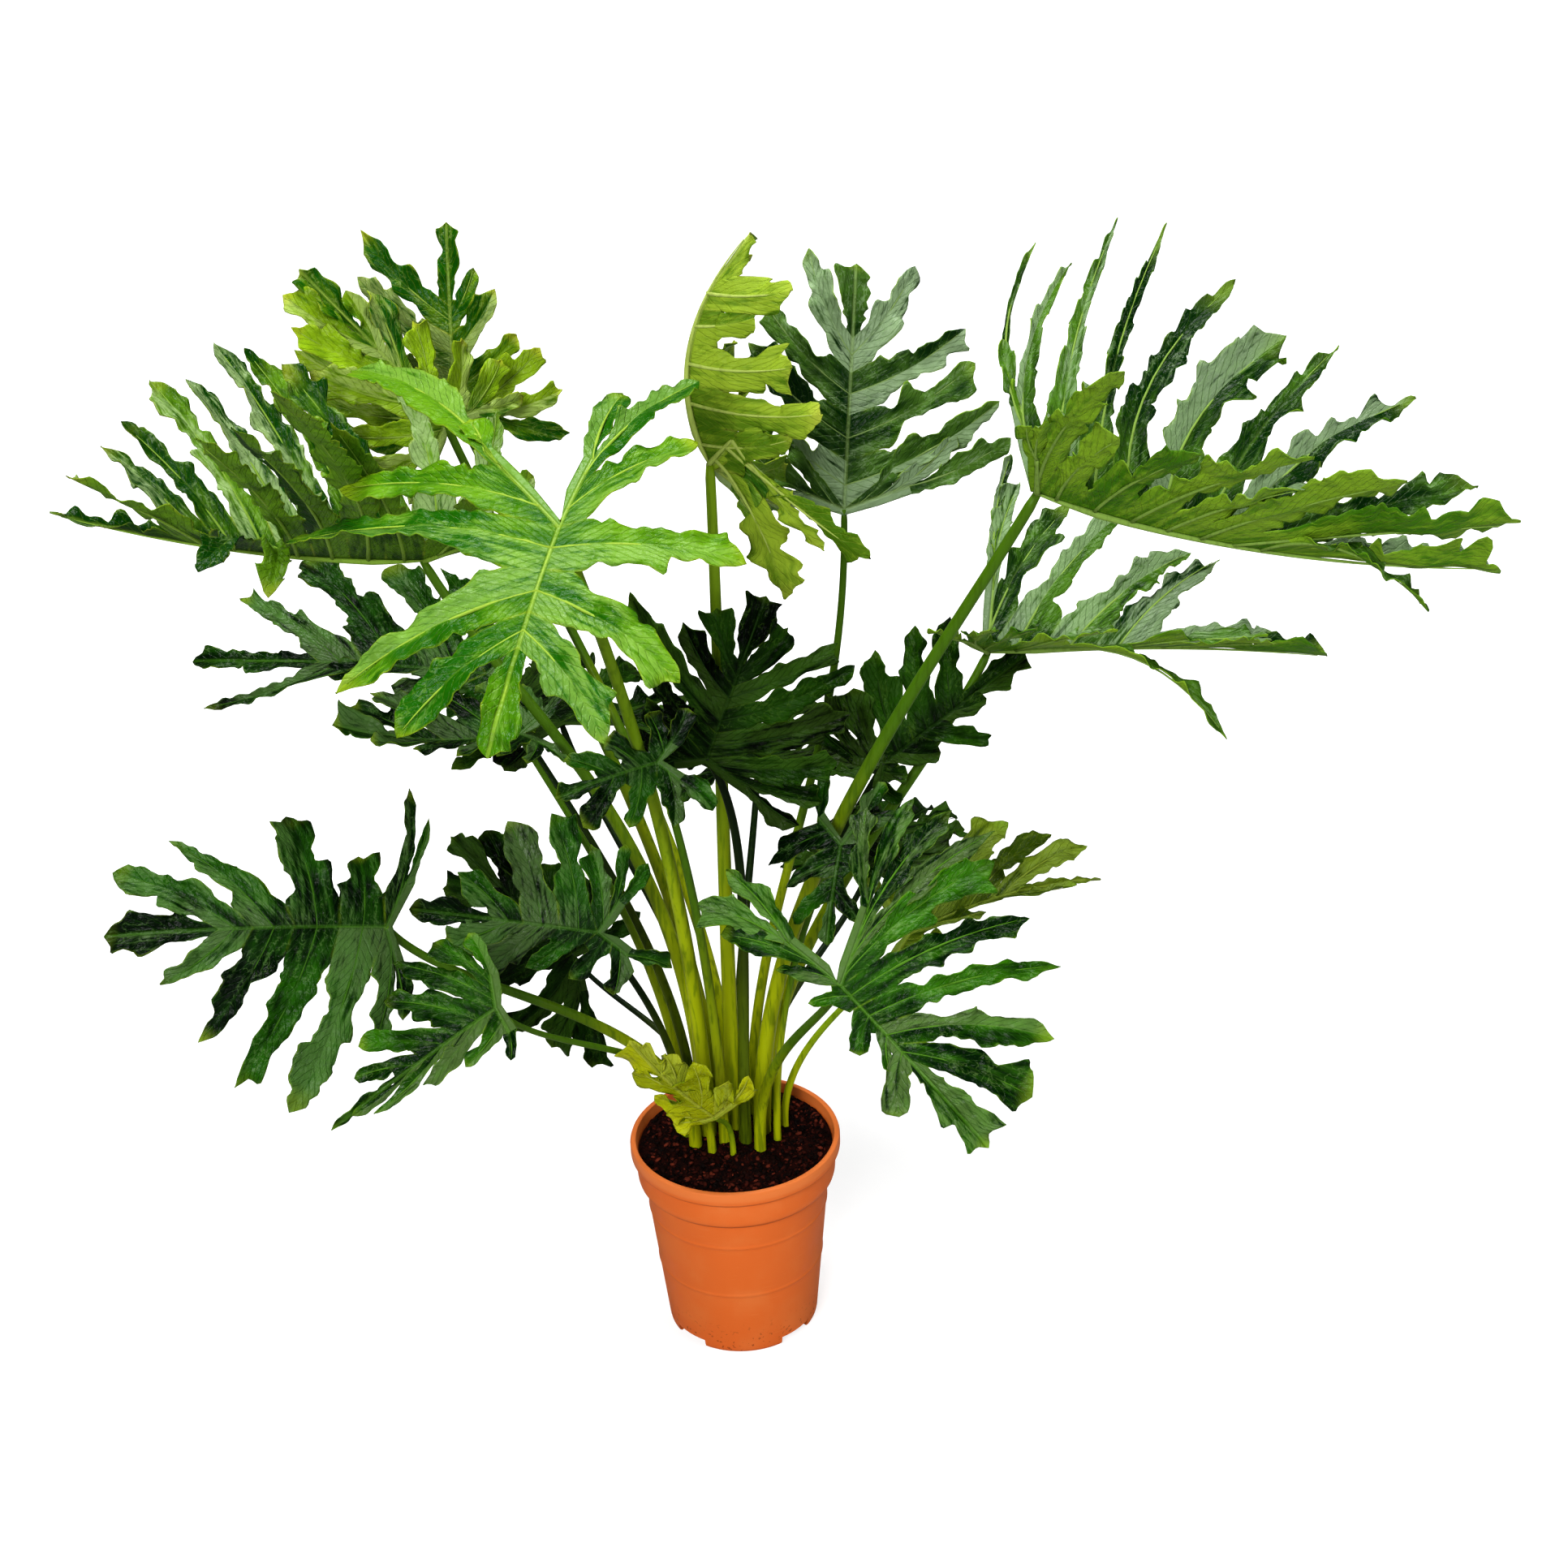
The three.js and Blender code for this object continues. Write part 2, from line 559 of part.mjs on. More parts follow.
// One leaf's shape: where points of its flat plan lie in space
class LeafForm {
  constructor(leaf) {
    this.leaf = leaf;
    this.junction = new THREE.Vector3(...leaf.junction);
    this.along = new THREE.Vector3(...leaf.tip).sub(this.junction);
    this.length = this.along.length();
    this.along.normalize();
    this.face = new THREE.Vector3(...leaf.face);
    this.face.addScaledVector(this.along, -this.face.dot(this.along)).normalize();
    this.side = new THREE.Vector3().crossVectors(this.along, this.face);
  }

  // u runs along the midrib to the tip, v outward; hand is 1 for the right half and -1 for the left
  place(u, v, hand, raise = 0) {
    const { arch, fold, droop } = this.leaf;
    const t = u / this.length;
    const rise = t > 0 ? 4 * arch * t * (1 - t) : 2 * arch * t;
    const away = (v ** 2 + Math.min(u, 0) ** 2) / (0.5 * this.length) ** 2;
    const tilt = fold * Math.PI / 180;
    const point = this.junction.clone();
    point.addScaledVector(this.along, u);
    point.addScaledVector(this.side, hand * v * Math.cos(tilt));
    point.addScaledVector(this.face, v * Math.sin(tilt) + rise - droop * away + raise);
    return point;
  }
}

// A direction in the plan, in degrees from the midrib's tip
function heading(degrees) {
  const angle = degrees * Math.PI / 180;
  return new THREE.Vector2(Math.cos(angle), Math.sin(angle));
}

// One half of a blade: its lobes as curves in the plan
class HalfBlade {
  constructor(form, hand) {
    this.form = form;
    this.hand = hand;
    const { laterals, last = LAST_LOBE, cut = SINUS_DEPTH, end = END_LOBE } = form.leaf;
    this.cut = cut;
    const { vein, lobes } = hand > 0 ? form.leaf.right : form.leaf.left;
    const hind = heading(vein[1]).multiplyScalar(vein[0]);
    this.hindTurn = vein[1];
    this.hindSteps = lobes.length - 1 - laterals;
    this.spine = [];
    for (let i = this.hindSteps; i > 0; i -= 1) {
      this.spine.push(hind.clone().multiplyScalar(i / this.hindSteps));
    }
    for (let i = 0; i <= laterals; i += 1) {
      const share = last * (1 - (1 - i / laterals) ** LOBE_CROWDING);
      this.spine.push(new THREE.Vector2(share * form.length, 0));
    }
    this.lobes = lobes.map(([reach, turn, raise = 0, breadth = 1, bend = LOBE_BEND], index) => {
      const base = index === 0 ? this.spine[0].clone()
        : this.spine[index - 1].clone().add(this.spine[index]).multiplyScalar(0.5);
      const middle = base.clone().addScaledVector(heading(turn + bend), 0.5 * reach);
      const tip = base.clone().addScaledVector(heading(turn), reach);
      return { base, middle, tip, reach, raise, breadth, index };
    });
    const base = this.spine[this.spine.length - 1].clone();
    const tip = new THREE.Vector2(form.length, 0);
    const middle = base.clone().add(tip).multiplyScalar(0.5);
    const reach = form.length - base.x;
    this.lobes.push({ base, middle, tip, reach, raise: 0, breadth: end, index: lobes.length });
  }

  centre(lobe, t) {
    const s = 1 - t;
    return new THREE.Vector2()
      .addScaledVector(lobe.base, s * s)
      .addScaledVector(lobe.middle, 2 * s * t)
      .addScaledVector(lobe.tip, t * t);
  }

  // The bottom of the cut between a lobe and the next
  sinus(index) {
    const before = this.centre(this.lobes[index], this.cut);
    const after = this.centre(this.lobes[index + 1], this.cut);
    return before.add(after).multiplyScalar(0.5);
  }

  // A point on a lobe's margin; edge is -1 towards the hind lobes and 1 towards the tip
  margin(lobe, t, edge, fullness) {
    const centre = this.centre(lobe, t);
    const ahead = this.centre(lobe, Math.min(t + 0.02, 1)).sub(this.centre(lobe, t - 0.02));
    const across = new THREE.Vector2(-ahead.y, ahead.x).normalize().multiplyScalar(-edge);
    const neighbour = this.lobes[lobe.index + edge];
    const room = neighbour ? NEIGHBOUR_ROOM * this.centre(neighbour, t).distanceTo(centre) : Infinity;
    const seed = this.form.length + 17 * lobe.index + 5 * this.hand + edge;
    const tooth = 0.8 + 0.45 * draw(seed + t);
    const full = (this.form.leaf.width + LOBE_WIDENING * lobe.reach) * lobe.breadth * tooth;
    return centre.addScaledVector(across, Math.min(full, room) * fullness);
  }

  ruffle(lobe, t, edge) {
    const size = RUFFLE_HEIGHT * this.form.leaf.width;
    const phase = 2 * lobe.index + (edge > 0 ? 1 : 2.6) + this.hand;
    return size * Math.abs(edge) * Math.sin(2 * Math.PI * RUFFLE_WAVES * t + phase);
  }
}

// A thin closed body grown from a sheet: its margin is sharp and its middle is thickest
class Sheet {
  constructor() {
    this.points = [];
    this.onMargin = [];
    this.triangles = [];
  }

  add(point, onMargin) {
    this.points.push(point);
    this.onMargin.push(onMargin);
    return this.points.length - 1;
  }

  triangle(a, b, c, hand) {
    this.triangles.push(hand > 0 ? [a, b, c] : [a, c, b]);
  }

  // Joins two rows of three points, the inner row first
  band(inner, outer, hand) {
    this.triangle(inner[0], outer[0], inner[1], hand);
    this.triangle(outer[0], outer[1], inner[1], hand);
    this.triangle(inner[1], outer[1], outer[2], hand);
    this.triangle(inner[1], outer[2], inner[2], hand);
  }

  close(thickness) {
    const normals = this.points.map(() => new THREE.Vector3());
    for (const [a, b, c] of this.triangles) {
      const one = this.points[b].clone().sub(this.points[a]);
      const two = this.points[c].clone().sub(this.points[a]);
      const normal = one.cross(two);
      for (const i of [a, b, c]) normals[i].add(normal);
    }
    const positions = [];
    const upper = [];
    const lower = [];
    this.points.forEach((point, i) => {
      const half = this.onMargin[i] ? 0 : thickness / 2;
      const normal = normals[i].normalize();
      upper.push(positions.length / 3);
      positions.push(...point.clone().addScaledVector(normal, half).toArray());
      if (this.onMargin[i]) {
        lower.push(upper[i]);
      } else {
        lower.push(positions.length / 3);
        positions.push(...point.clone().addScaledVector(normal, -half).toArray());
      }
    });
    const index = [];
    for (const [a, b, c] of this.triangles) {
      index.push(upper[a], upper[b], upper[c]);
      index.push(lower[a], lower[c], lower[b]);
    }
    const geometry = new THREE.BufferGeometry();
    geometry.setAttribute('position', new THREE.BufferAttribute(new Float32Array(positions), 3));
    geometry.setIndex(index);
    return geometry;
  }
}

// Rows of a lobe from its cut bottoms out to its tip
function growLobe(sheet, half, lobe, firstRow) {
  const form = half.form;
  let inner = firstRow;
  LOBE_ROWS.forEach((t, row) => {
    const raise = lobe.raise * t * t;
    const outer = [-1, 0, 1].map((edge) => {
      const plan = edge === 0 ? half.centre(lobe, t) : half.margin(lobe, t, edge, LOBE_FULLNESS[row]);
      const wave = half.ruffle(lobe, t, edge);
      return sheet.add(form.place(plan.x, plan.y, half.hand, raise + wave), edge !== 0);
    });
    sheet.band(inner, outer, half.hand);
    inner = outer;
  });
  const tip = sheet.add(form.place(lobe.tip.x, lobe.tip.y, half.hand, lobe.raise), true);
  sheet.triangle(inner[0], tip, inner[1], half.hand);
  sheet.triangle(inner[1], tip, inner[2], half.hand);
}

function bladeSheet(leaf) {
  const form = new LeafForm(leaf);
  const sheet = new Sheet();
  const heel = sheet.add(form.place(-HEEL, 0, 1), true);
  const midrib = new Map();
  const onMidrib = (u) => {
    if (!midrib.has(u)) midrib.set(u, sheet.add(form.place(u, 0, 1), false));
    return midrib.get(u);
  };
  const endSinus = {};
  for (const hand of [1, -1]) {
    const half = new HalfBlade(form, hand);
    const at = (plan, margin) => {
      if (plan.y === 0 && !margin) return onMidrib(plan.x);
      return sheet.add(form.place(plan.x, plan.y, hand), margin);
    };
    const joints = half.spine.map((plan) => at(plan, false));
    const cuts = half.spine.map((plan, i) => at(half.sinus(i), true));
    const bases = [];
    for (let i = 1; i < half.spine.length; i += 1) {
      const lobe = half.lobes[i];
      const base = at(lobe.base, false);
      bases.push(base);
      const raise = lobe.raise * half.cut ** 2;
      const middle = half.centre(lobe, half.cut);
      const centre = sheet.add(form.place(middle.x, middle.y, hand, raise), false);
      const firstRow = [cuts[i - 1], centre, cuts[i]];
      sheet.band([joints[i - 1], base, joints[i]], firstRow, hand);
      growLobe(sheet, half, lobe, firstRow);
    }
    // The narrow wing on the inner side of the hind vein
    const inward = heading(half.hindTurn + 90).multiplyScalar(WING);
    const inner = [];
    for (let i = 0; i < half.hindSteps; i += 1) {
      const plan = half.spine[i].clone().add(inward);
      inner.push(sheet.add(form.place(plan.x, plan.y, hand), true));
    }
    inner.push(heel);
    for (let i = 0; i < half.hindSteps; i += 1) {
      sheet.triangle(inner[i], joints[i], bases[i], hand);
      sheet.triangle(inner[i], bases[i], inner[i + 1], hand);
      sheet.triangle(inner[i + 1], bases[i], joints[i + 1], hand);
    }
    growLobe(sheet, half, half.lobes[0], [inner[0], joints[0], cuts[0]]);
    endSinus[hand] = { half, cut: cuts[cuts.length - 1], joint: joints[joints.length - 1] };
  }
  // The end lobe, shared by both halves
  const right = endSinus[1];
  growEndLobe(sheet, right.half, [right.cut, right.joint, endSinus[-1].cut]);
  return sheet;
}

function growEndLobe(sheet, half, firstRow) {
  const form = half.form;
  const lobe = half.lobes[half.lobes.length - 1];
  let inner = firstRow;
  LOBE_ROWS.forEach((t, row) => {
    const middle = half.centre(lobe, t);
    const width = lobe.breadth * form.leaf.width * LOBE_FULLNESS[row];
    const outer = [1, 0, -1].map((edge) => {
      const wave = edge === 0 ? 0 : half.ruffle(lobe, t, edge);
      return sheet.add(form.place(middle.x, width * Math.abs(edge), edge || 1, wave), edge !== 0);
    });
    sheet.band(inner, outer, 1);
    inner = outer;
  });
  const tip = sheet.add(form.place(lobe.tip.x, 0, 1), true);
  sheet.triangle(inner[0], tip, inner[1], 1);
  sheet.triangle(inner[1], tip, inner[2], 1);
}

// Two directions across a petiole that runs ahead
function acrossPetiole(ahead) {
  const reference = new THREE.Vector3(0.31, 1, 0.12).normalize();
  const one = new THREE.Vector3().crossVectors(ahead, reference).normalize();
  const two = new THREE.Vector3().crossVectors(one, ahead).normalize();
  return [one, two];
}

// How far below the junction a petiole ends, so that its rim just clears the blade's underside
function seatDepth(form, ahead, radius) {
  const [one, two] = acrossPetiole(ahead);
  const slope = Math.cos(form.leaf.fold * Math.PI / 180);
  let depth = 0;
  for (let i = 0; i < SEAT_POINTS; i += 1) {
    const angle = i * 2 * Math.PI / SEAT_POINTS;
    const rim = one.clone().multiplyScalar(radius * Math.sin(angle));
    rim.addScaledVector(two, radius * Math.cos(angle));
    const blade = form.place(rim.dot(form.along), Math.abs(rim.dot(form.side)) / slope, 1);
    const height = blade.sub(form.junction).dot(form.face);
    depth = Math.max(depth, rim.dot(form.face) - height);
  }
  return depth + BLADE_THICKNESS / 2 + BLADE_CLEARANCE;
}

// The petiole's curve from its root in the soil to just under the blade
function petioleCurve(leaf) {
  const form = new LeafForm(leaf);
  const seat = SOIL_EDGE_HEIGHT - ROOT_DEPTH + HOLE_CLEARANCE;
  const root = new THREE.Vector3(leaf.root[0], leaf.root[1] + CROWN_BACK, seat);
  const span = form.junction.distanceTo(root);
  const upward = new THREE.Vector3(0, 0, 1);
  const outward = form.junction.clone().sub(root).setZ(0).normalize();
  const { rise = PETIOLE_RISE, reach = PETIOLE_REACH, arching = PETIOLE_ARCHING } = leaf;
  const arrive = upward.clone()
    .addScaledVector(outward, arching)
    .addScaledVector(form.face, arching / 3)
    .normalize();
  const depth = seatDepth(form, arrive, leaf.stem * PETIOLE_TOP_RADIUS);
  const end = form.junction.clone().addScaledVector(form.face, -depth);
  const foot = root.clone().addScaledVector(upward, ROOT_DEPTH + ROOT_RISE);
  const low = foot.clone().addScaledVector(upward, rise * span);
  const high = end.clone().addScaledVector(arrive, -reach * span);
  const path = new THREE.CurvePath();
  path.add(new THREE.LineCurve3(root, foot));
  path.add(new THREE.CubicBezierCurve3(foot, low, high, end));
  return path;
}

function petioleGeometry(leaf) {
  const path = petioleCurve(leaf);
  const tube = new THREE.CylinderGeometry(1, 1, 1, PETIOLE_SIDES, PETIOLE_RINGS);
  const place = tube.attributes.position;
  for (let i = 0; i < place.count; i += 1) {
    const t = place.getY(i) + 0.5;
    const centre = path.getPoint(t);
    const ahead = path.getTangent(Math.min(Math.max(t, 0.001), 0.999));
    const [one, two] = acrossPetiole(ahead);
    const slim = PETIOLE_FOOT_RADIUS + (PETIOLE_TOP_RADIUS - PETIOLE_FOOT_RADIUS) * t;
    const swell = 1 + SHEATH_SWELL * Math.max(0, 1 - 4 * t);
    const radius = leaf.stem * slim * swell;
    centre.addScaledVector(one, radius * place.getX(i));
    centre.addScaledVector(two, radius * place.getZ(i));
    place.setXYZ(i, centre.x, centre.y, centre.z);
  }
  return BufferGeometryUtils.mergeVertices(bareGeometry(tube), 1e-3);
}

function bareGeometry(geometry) {
  geometry.deleteAttribute('normal');
  geometry.deleteAttribute('uv');
  return geometry;
}

function piece(name, geometry, colour, roughness) {
  const material = new THREE.MeshStandardMaterial({ color: colour, roughness, metalness: 0 });
  const mesh = new THREE.Mesh(geometry, material);
  mesh.name = name;
  return mesh;
}

const plant = new THREE.Group();
plant.add(piece('pot', makePot(), COLOURS.pot, 0.55));
plant.add(piece('soil', makeSoil(LEAVES), COLOURS.soil, 0.95));
for (const leaf of LEAVES) {
  plant.add(piece(`${leaf.name}_petiole`, petioleGeometry(leaf), COLOURS.petiole, 0.45));
  const blade = bladeSheet(leaf).close(BLADE_THICKNESS);
  plant.add(piece(`${leaf.name}_blade`, blade, BLADE_COLOURS[leaf.tone], 0.35));
}

export default plant;
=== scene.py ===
# %% [markdown]
# # A lacy tree philodendron in its nursery pot
# The plant is a fixed object: a pot, the soil in it, and a fan of long leaf stalks that each
# carry one deeply cut blade. The imported model gives the place and the rough form of every
# piece. This lesson gives each of them its fine form and its finish.
# The model is loaded first.

# %% Load the fixed model
import math
import random
from functools import partialmethod, reduce

import bmesh
import bpy
from mathutils import Matrix, Vector, noise


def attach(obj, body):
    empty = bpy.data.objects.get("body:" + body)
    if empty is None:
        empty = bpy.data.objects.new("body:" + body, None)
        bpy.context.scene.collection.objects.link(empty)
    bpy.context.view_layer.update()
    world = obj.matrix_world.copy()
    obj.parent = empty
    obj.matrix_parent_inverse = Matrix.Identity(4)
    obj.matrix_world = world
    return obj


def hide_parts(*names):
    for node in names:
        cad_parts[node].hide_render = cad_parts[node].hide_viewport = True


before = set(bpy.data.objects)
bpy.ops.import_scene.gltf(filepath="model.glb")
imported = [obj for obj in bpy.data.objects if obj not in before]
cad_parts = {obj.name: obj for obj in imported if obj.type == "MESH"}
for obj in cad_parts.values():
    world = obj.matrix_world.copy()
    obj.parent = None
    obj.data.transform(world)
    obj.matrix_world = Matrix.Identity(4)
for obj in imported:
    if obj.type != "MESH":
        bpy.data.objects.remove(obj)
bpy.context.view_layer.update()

print("nodes in the model:", len(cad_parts))

# %% [markdown]
# ## The camera
# The plant is seen from a little above the top leaves, looking down at it, with a normal lens
# and the camera turned slightly on its axis. A camera looks along its own -Z with +Y up, so
# three directions at right angles make its turn. This is clearer than three angles, which
# depend on the order they are applied in.

# %% Camera
LOOK_DOWN = math.radians(25.97)
CAMERA_TURN = math.radians(2.2)
CAMERA_PLACE = (0.0624, -1.8847, 1.5190)
PHOTO_WIDTH = 1932
FOCAL_PIXELS = 2790
SENSOR_WIDTH = 36

sideways = Vector((1, 0, 0))
upward = Vector((0, math.sin(LOOK_DOWN), math.cos(LOOK_DOWN)))
backward = Vector((0, -math.cos(LOOK_DOWN), math.sin(LOOK_DOWN)))
right_axis = sideways * math.cos(CAMERA_TURN) - upward * math.sin(CAMERA_TURN)
up_axis = sideways * math.sin(CAMERA_TURN) + upward * math.cos(CAMERA_TURN)

camera_data = bpy.data.cameras.new("camera")
camera_data.sensor_width = SENSOR_WIDTH
camera_data.lens = FOCAL_PIXELS / PHOTO_WIDTH * SENSOR_WIDTH
camera = bpy.data.objects.new("camera", camera_data)
bpy.context.collection.objects.link(camera)
turn = Matrix((right_axis, up_axis, backward)).transposed().to_4x4()
camera.matrix_world = Matrix.Translation(CAMERA_PLACE) @ turn
bpy.context.scene.camera = camera
print("lens in mm:", round(camera_data.lens, 1))

# %% [markdown]
# ## Finishing a piece
# Every piece ends the same way: its bmesh, worked in millimetres, becomes an object in metres
# at the origin, which rides on the plant's one body, takes the place of its node in the model,
# which is hidden, and gets the materials it is given. One helper does this for all.

# %% Helpers for pieces
MILLIMETRE = 0.001


def new_object(name, bm, materials):
    mesh = bpy.data.meshes.new(name)
    bm.to_mesh(mesh)
    bm.free()
    for material in materials:
        mesh.materials.append(material)
    made = bpy.data.objects.new(name, mesh)
    bpy.context.collection.objects.link(made)
    return made


def finish_piece(name, bm, materials, nodes):
    bmesh.ops.scale(bm, vec=[MILLIMETRE] * 3, verts=bm.verts)
    piece = new_object(name, bm, materials)
    piece.data.shade_smooth()
    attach(piece, "root")
    if nodes:
        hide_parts(*nodes)
    return piece


def after_modifiers(thing):
    """A new bmesh of the object's mesh with its modifiers applied. The object is removed."""
    evaluated = thing.evaluated_get(bpy.context.evaluated_depsgraph_get())
    bm = bmesh.new()
    bm.from_mesh(evaluated.to_mesh())
    bpy.data.objects.remove(thing)
    return bm


def colour(red, green, blue):
    """A linear colour from the 0-255 values that a screen shows."""
    shares = [value / 255 for value in (red, green, blue)]
    return (*(share / 12.92 if share < 0.04045 else ((share + 0.055) / 1.055) ** 2.4
              for share in shares), 1.0)


def times(tone, factor):
    return (*(factor * part for part in tone[:3]), 1.0)


print("helpers for pieces ready")

# %% [markdown]
# ## Patterns from nodes
# A material's colour is a sum of effects, such as clouds, streaks and wear. In the node editor
# each is a chain of Math nodes. Here a small class wraps the output of a node, and a loop gives
# it the signs of arithmetic, so that `clouds * 0.3 + streaks` adds those nodes by itself and a
# pattern reads like a sum.
# A pattern is a node group with named inputs. It puts out a colour, a height for the relief
# and a variation for the roughness. Each material that uses it gives it its own values.

# %% Node signals
class Signal:
    """An output in a node tree that can be added, multiplied and ramped like a number."""

    def __init__(self, tree, socket):
        self.tree, self.socket = tree, socket

    def math(self, operation, other=0.0, clamp=False):
        return add_node(self.tree, "Math", {0: self, 1: other}, operation=operation,
                        use_clamp=clamp)[0]

    def ramp(self, start, end, low=0.0, high=1.0):
        """Maps start..end to low..high with soft ends."""
        ends = {"Value": self, "From Min": start, "From Max": end, "To Min": low, "To Max": high}
        return add_node(self.tree, "MapRange", ends, interpolation_type="SMOOTHSTEP")[0]

    def mix(self, first, second):
        """A colour from the first, where this is 0, to the second, where it is 1."""
        return add_node(self.tree, "Mix", {0: self, 6: first, 7: second}, data_type="RGBA")[2]


for sign, operation in (("__add__", "ADD"), ("__sub__", "SUBTRACT"), ("__mul__", "MULTIPLY"),
                        ("__truediv__", "DIVIDE"), ("__abs__", "ABSOLUTE"),
                        ("fraction", "FRACT"), ("larger", "MAXIMUM"), ("smaller", "MINIMUM")):
    setattr(Signal, sign, partialmethod(Signal.math, operation))


def feed(target, source):
    """Gives an input a number or colour, or joins it to a signal."""
    if isinstance(source, Signal):
        source.tree.links.new(source.socket, target)
    else:
        target.default_value = source


def add_node(tree, kind, inputs, **settings):
    """Adds a shader node, feeds its inputs and returns its outputs as signals."""
    node = tree.nodes.new("ShaderNode" + kind)
    for key, value in settings.items():
        setattr(node, key, value)
    for socket, source in inputs.items():
        feed(node.inputs[socket], source)
    return {key: Signal(tree, output) for i, output in enumerate(node.outputs)
            for key in (i, output.name)}


print("signals ready")


# %% Patterns
class Pattern:
    """A node group that makes a colour, a height and a variation from its named inputs."""

    def __init__(self, name, colours, numbers=()):
        self.tree = bpy.data.node_groups.new(name, "ShaderNodeTree")
        for way, kind, labels in (("INPUT", "Color", colours), ("INPUT", "Float", numbers),
                                  ("OUTPUT", "Color", ["Colour"]),
                                  ("OUTPUT", "Float", ["Height", "Variation"])):
            for label in labels:
                self.tree.interface.new_socket(label, in_out=way, socket_type="NodeSocket" + kind)
        self.start = self.tree.nodes.new("NodeGroupInput")
        self.end = self.tree.nodes.new("NodeGroupOutput")
        self.place = add_node(self.tree, "TexCoord", {})["Object"]

    def value(self, label):
        return Signal(self.tree, self.start.outputs[label])

    def noise(self, scale, detail=2.0, place=None):
        inputs = {"Vector": place or self.place, "Scale": scale, "Detail": detail}
        return add_node(self.tree, "TexNoise", inputs)[0]

    def stretched(self, scale):
        return add_node(self.tree, "Mapping", {"Vector": self.place, "Scale": scale})[0]

    def parts(self, vector):
        outputs = add_node(self.tree, "SeparateXYZ", {0: vector})
        return [outputs[i] for i in range(3)]

    def from_map(self, name):
        return self.parts(add_node(self.tree, "UVMap", {}, uv_map=name)[0])[:2]

    def finish(self, colour, height, variation):
        for label, source in (("Colour", colour), ("Height", height), ("Variation", variation)):
            feed(self.end.inputs[label], source)
        print(self.tree.name, "nodes:", len(self.tree.nodes))


print("patterns ready")

# %% Materials
VARIATION_SPAN = (0.3, 0.7)
ROUGHNESS_BELOW, ROUGHNESS_ABOVE = 0.08, 0.12


def new_material(name, pattern, values, roughness, bump, depth, specular):
    """A Principled material whose colour, roughness and relief come from a pattern."""
    material = bpy.data.materials.new(name)
    material.use_nodes = True
    tree = material.node_tree
    shader = tree.nodes["Principled BSDF"]
    group = tree.nodes.new("ShaderNodeGroup")
    group.node_tree = pattern.tree
    for label, value in values.items():
        feed(group.inputs[label], value)
    outputs = {output.name: Signal(tree, output) for output in group.outputs}
    relief = {"Strength": bump, "Distance": depth, "Height": outputs["Height"]}
    feed(shader.inputs["Base Color"], outputs["Colour"])
    feed(shader.inputs["Roughness"], outputs["Variation"].ramp(
        *VARIATION_SPAN, roughness - ROUGHNESS_BELOW, roughness + ROUGHNESS_ABOVE))
    feed(shader.inputs["Normal"], add_node(tree, "Bump", relief)[0])
    feed(shader.inputs["Specular IOR Level"], specular)
    return material


print("materials can be made")

# %% [markdown]
# ## Floor and light
# The setting is a plain pale floor under plain soft light. A broad light stands high in front,
# a little to the left, one hangs overhead and a weaker one fills from the right. The pale
# surroundings light the rest only faintly, so that the middle of the plant stays deep and dark.
# The floor is a middle grey that glows for the camera alone: it looks pale, and yet it doesn't
# throw light up between the leaves, whose gloss would turn milky.

# %% Floor
FLOOR_HALF = 30
FLOOR_TONE = (0.45, 0.45, 0.45, 1.0)
FLOOR_CLOUD = (0.3, 0.3, 0.3, 1.0)
GLOW_NEAR, GLOW_FAR = 0.62, 0.95
GLOW_FROM, GLOW_TO = 0.3, 2.5

floor_grain = Pattern("floor_grain", ["Tone"])
clouds = floor_grain.noise(3.0)
floor_grain.finish(clouds.ramp(0.3, 0.7, 0.0, 0.04).mix(floor_grain.value("Tone"), FLOOR_CLOUD),
                   clouds, clouds)
floor_finish = new_material("floor_finish", floor_grain, {"Tone": FLOOR_TONE},
                            roughness=0.9, bump=0.02, depth=0.0005, specular=0.1)
glow_tree = floor_finish.node_tree
floor_shader = glow_tree.nodes["Principled BSDF"]
floor_place = add_node(glow_tree, "TexCoord", {})["Object"]
from_plant = add_node(glow_tree, "VectorMath", {0: floor_place}, operation="LENGTH")["Value"]
feed(floor_shader.inputs["Emission Color"],
     from_plant.ramp(GLOW_FROM, GLOW_TO, GLOW_NEAR, GLOW_FAR))
feed(floor_shader.inputs["Emission Strength"],
     add_node(glow_tree, "LightPath", {})["Is Camera Ray"])

floor_bm = bmesh.new()
bmesh.ops.create_grid(floor_bm, x_segments=4, y_segments=4, size=FLOOR_HALF)
new_object("floor", floor_bm, [floor_finish])
print("floor ready")

# %% Lights
LIGHTS_AIM = Vector((0, 0, 0.6))
SURROUNDINGS_STRENGTH = 0.1


def soft_light(name, place, size, power):
    data = bpy.data.lights.new(name, "AREA")
    data.size = size
    data.energy = power
    lamp = bpy.data.objects.new(name, data)
    bpy.context.collection.objects.link(lamp)
    aim = LIGHTS_AIM - Vector(place)
    lamp.matrix_world = (Matrix.Translation(place)
                         @ aim.to_track_quat("-Z", "Y").to_matrix().to_4x4())


soft_light("front_light", (-1.4, -4.4, 3.3), size=2.2, power=200)
soft_light("fill_light", (3.4, -2.4, 1.8), size=1.6, power=44)
soft_light("top_light", (-0.3, 0.6, 4.2), size=1.8, power=125)

scene = bpy.context.scene
scene.world = bpy.data.worlds.new("surroundings")
scene.world.use_nodes = True
background = scene.world.node_tree.nodes["Background"]
feed(background.inputs["Color"], (1.0, 1.0, 1.0, 1.0))
feed(background.inputs["Strength"], SURROUNDINGS_STRENGTH)
scene.view_settings.view_transform = "Standard"
scene.view_settings.look = "Medium High Contrast"
print("three lights ready")

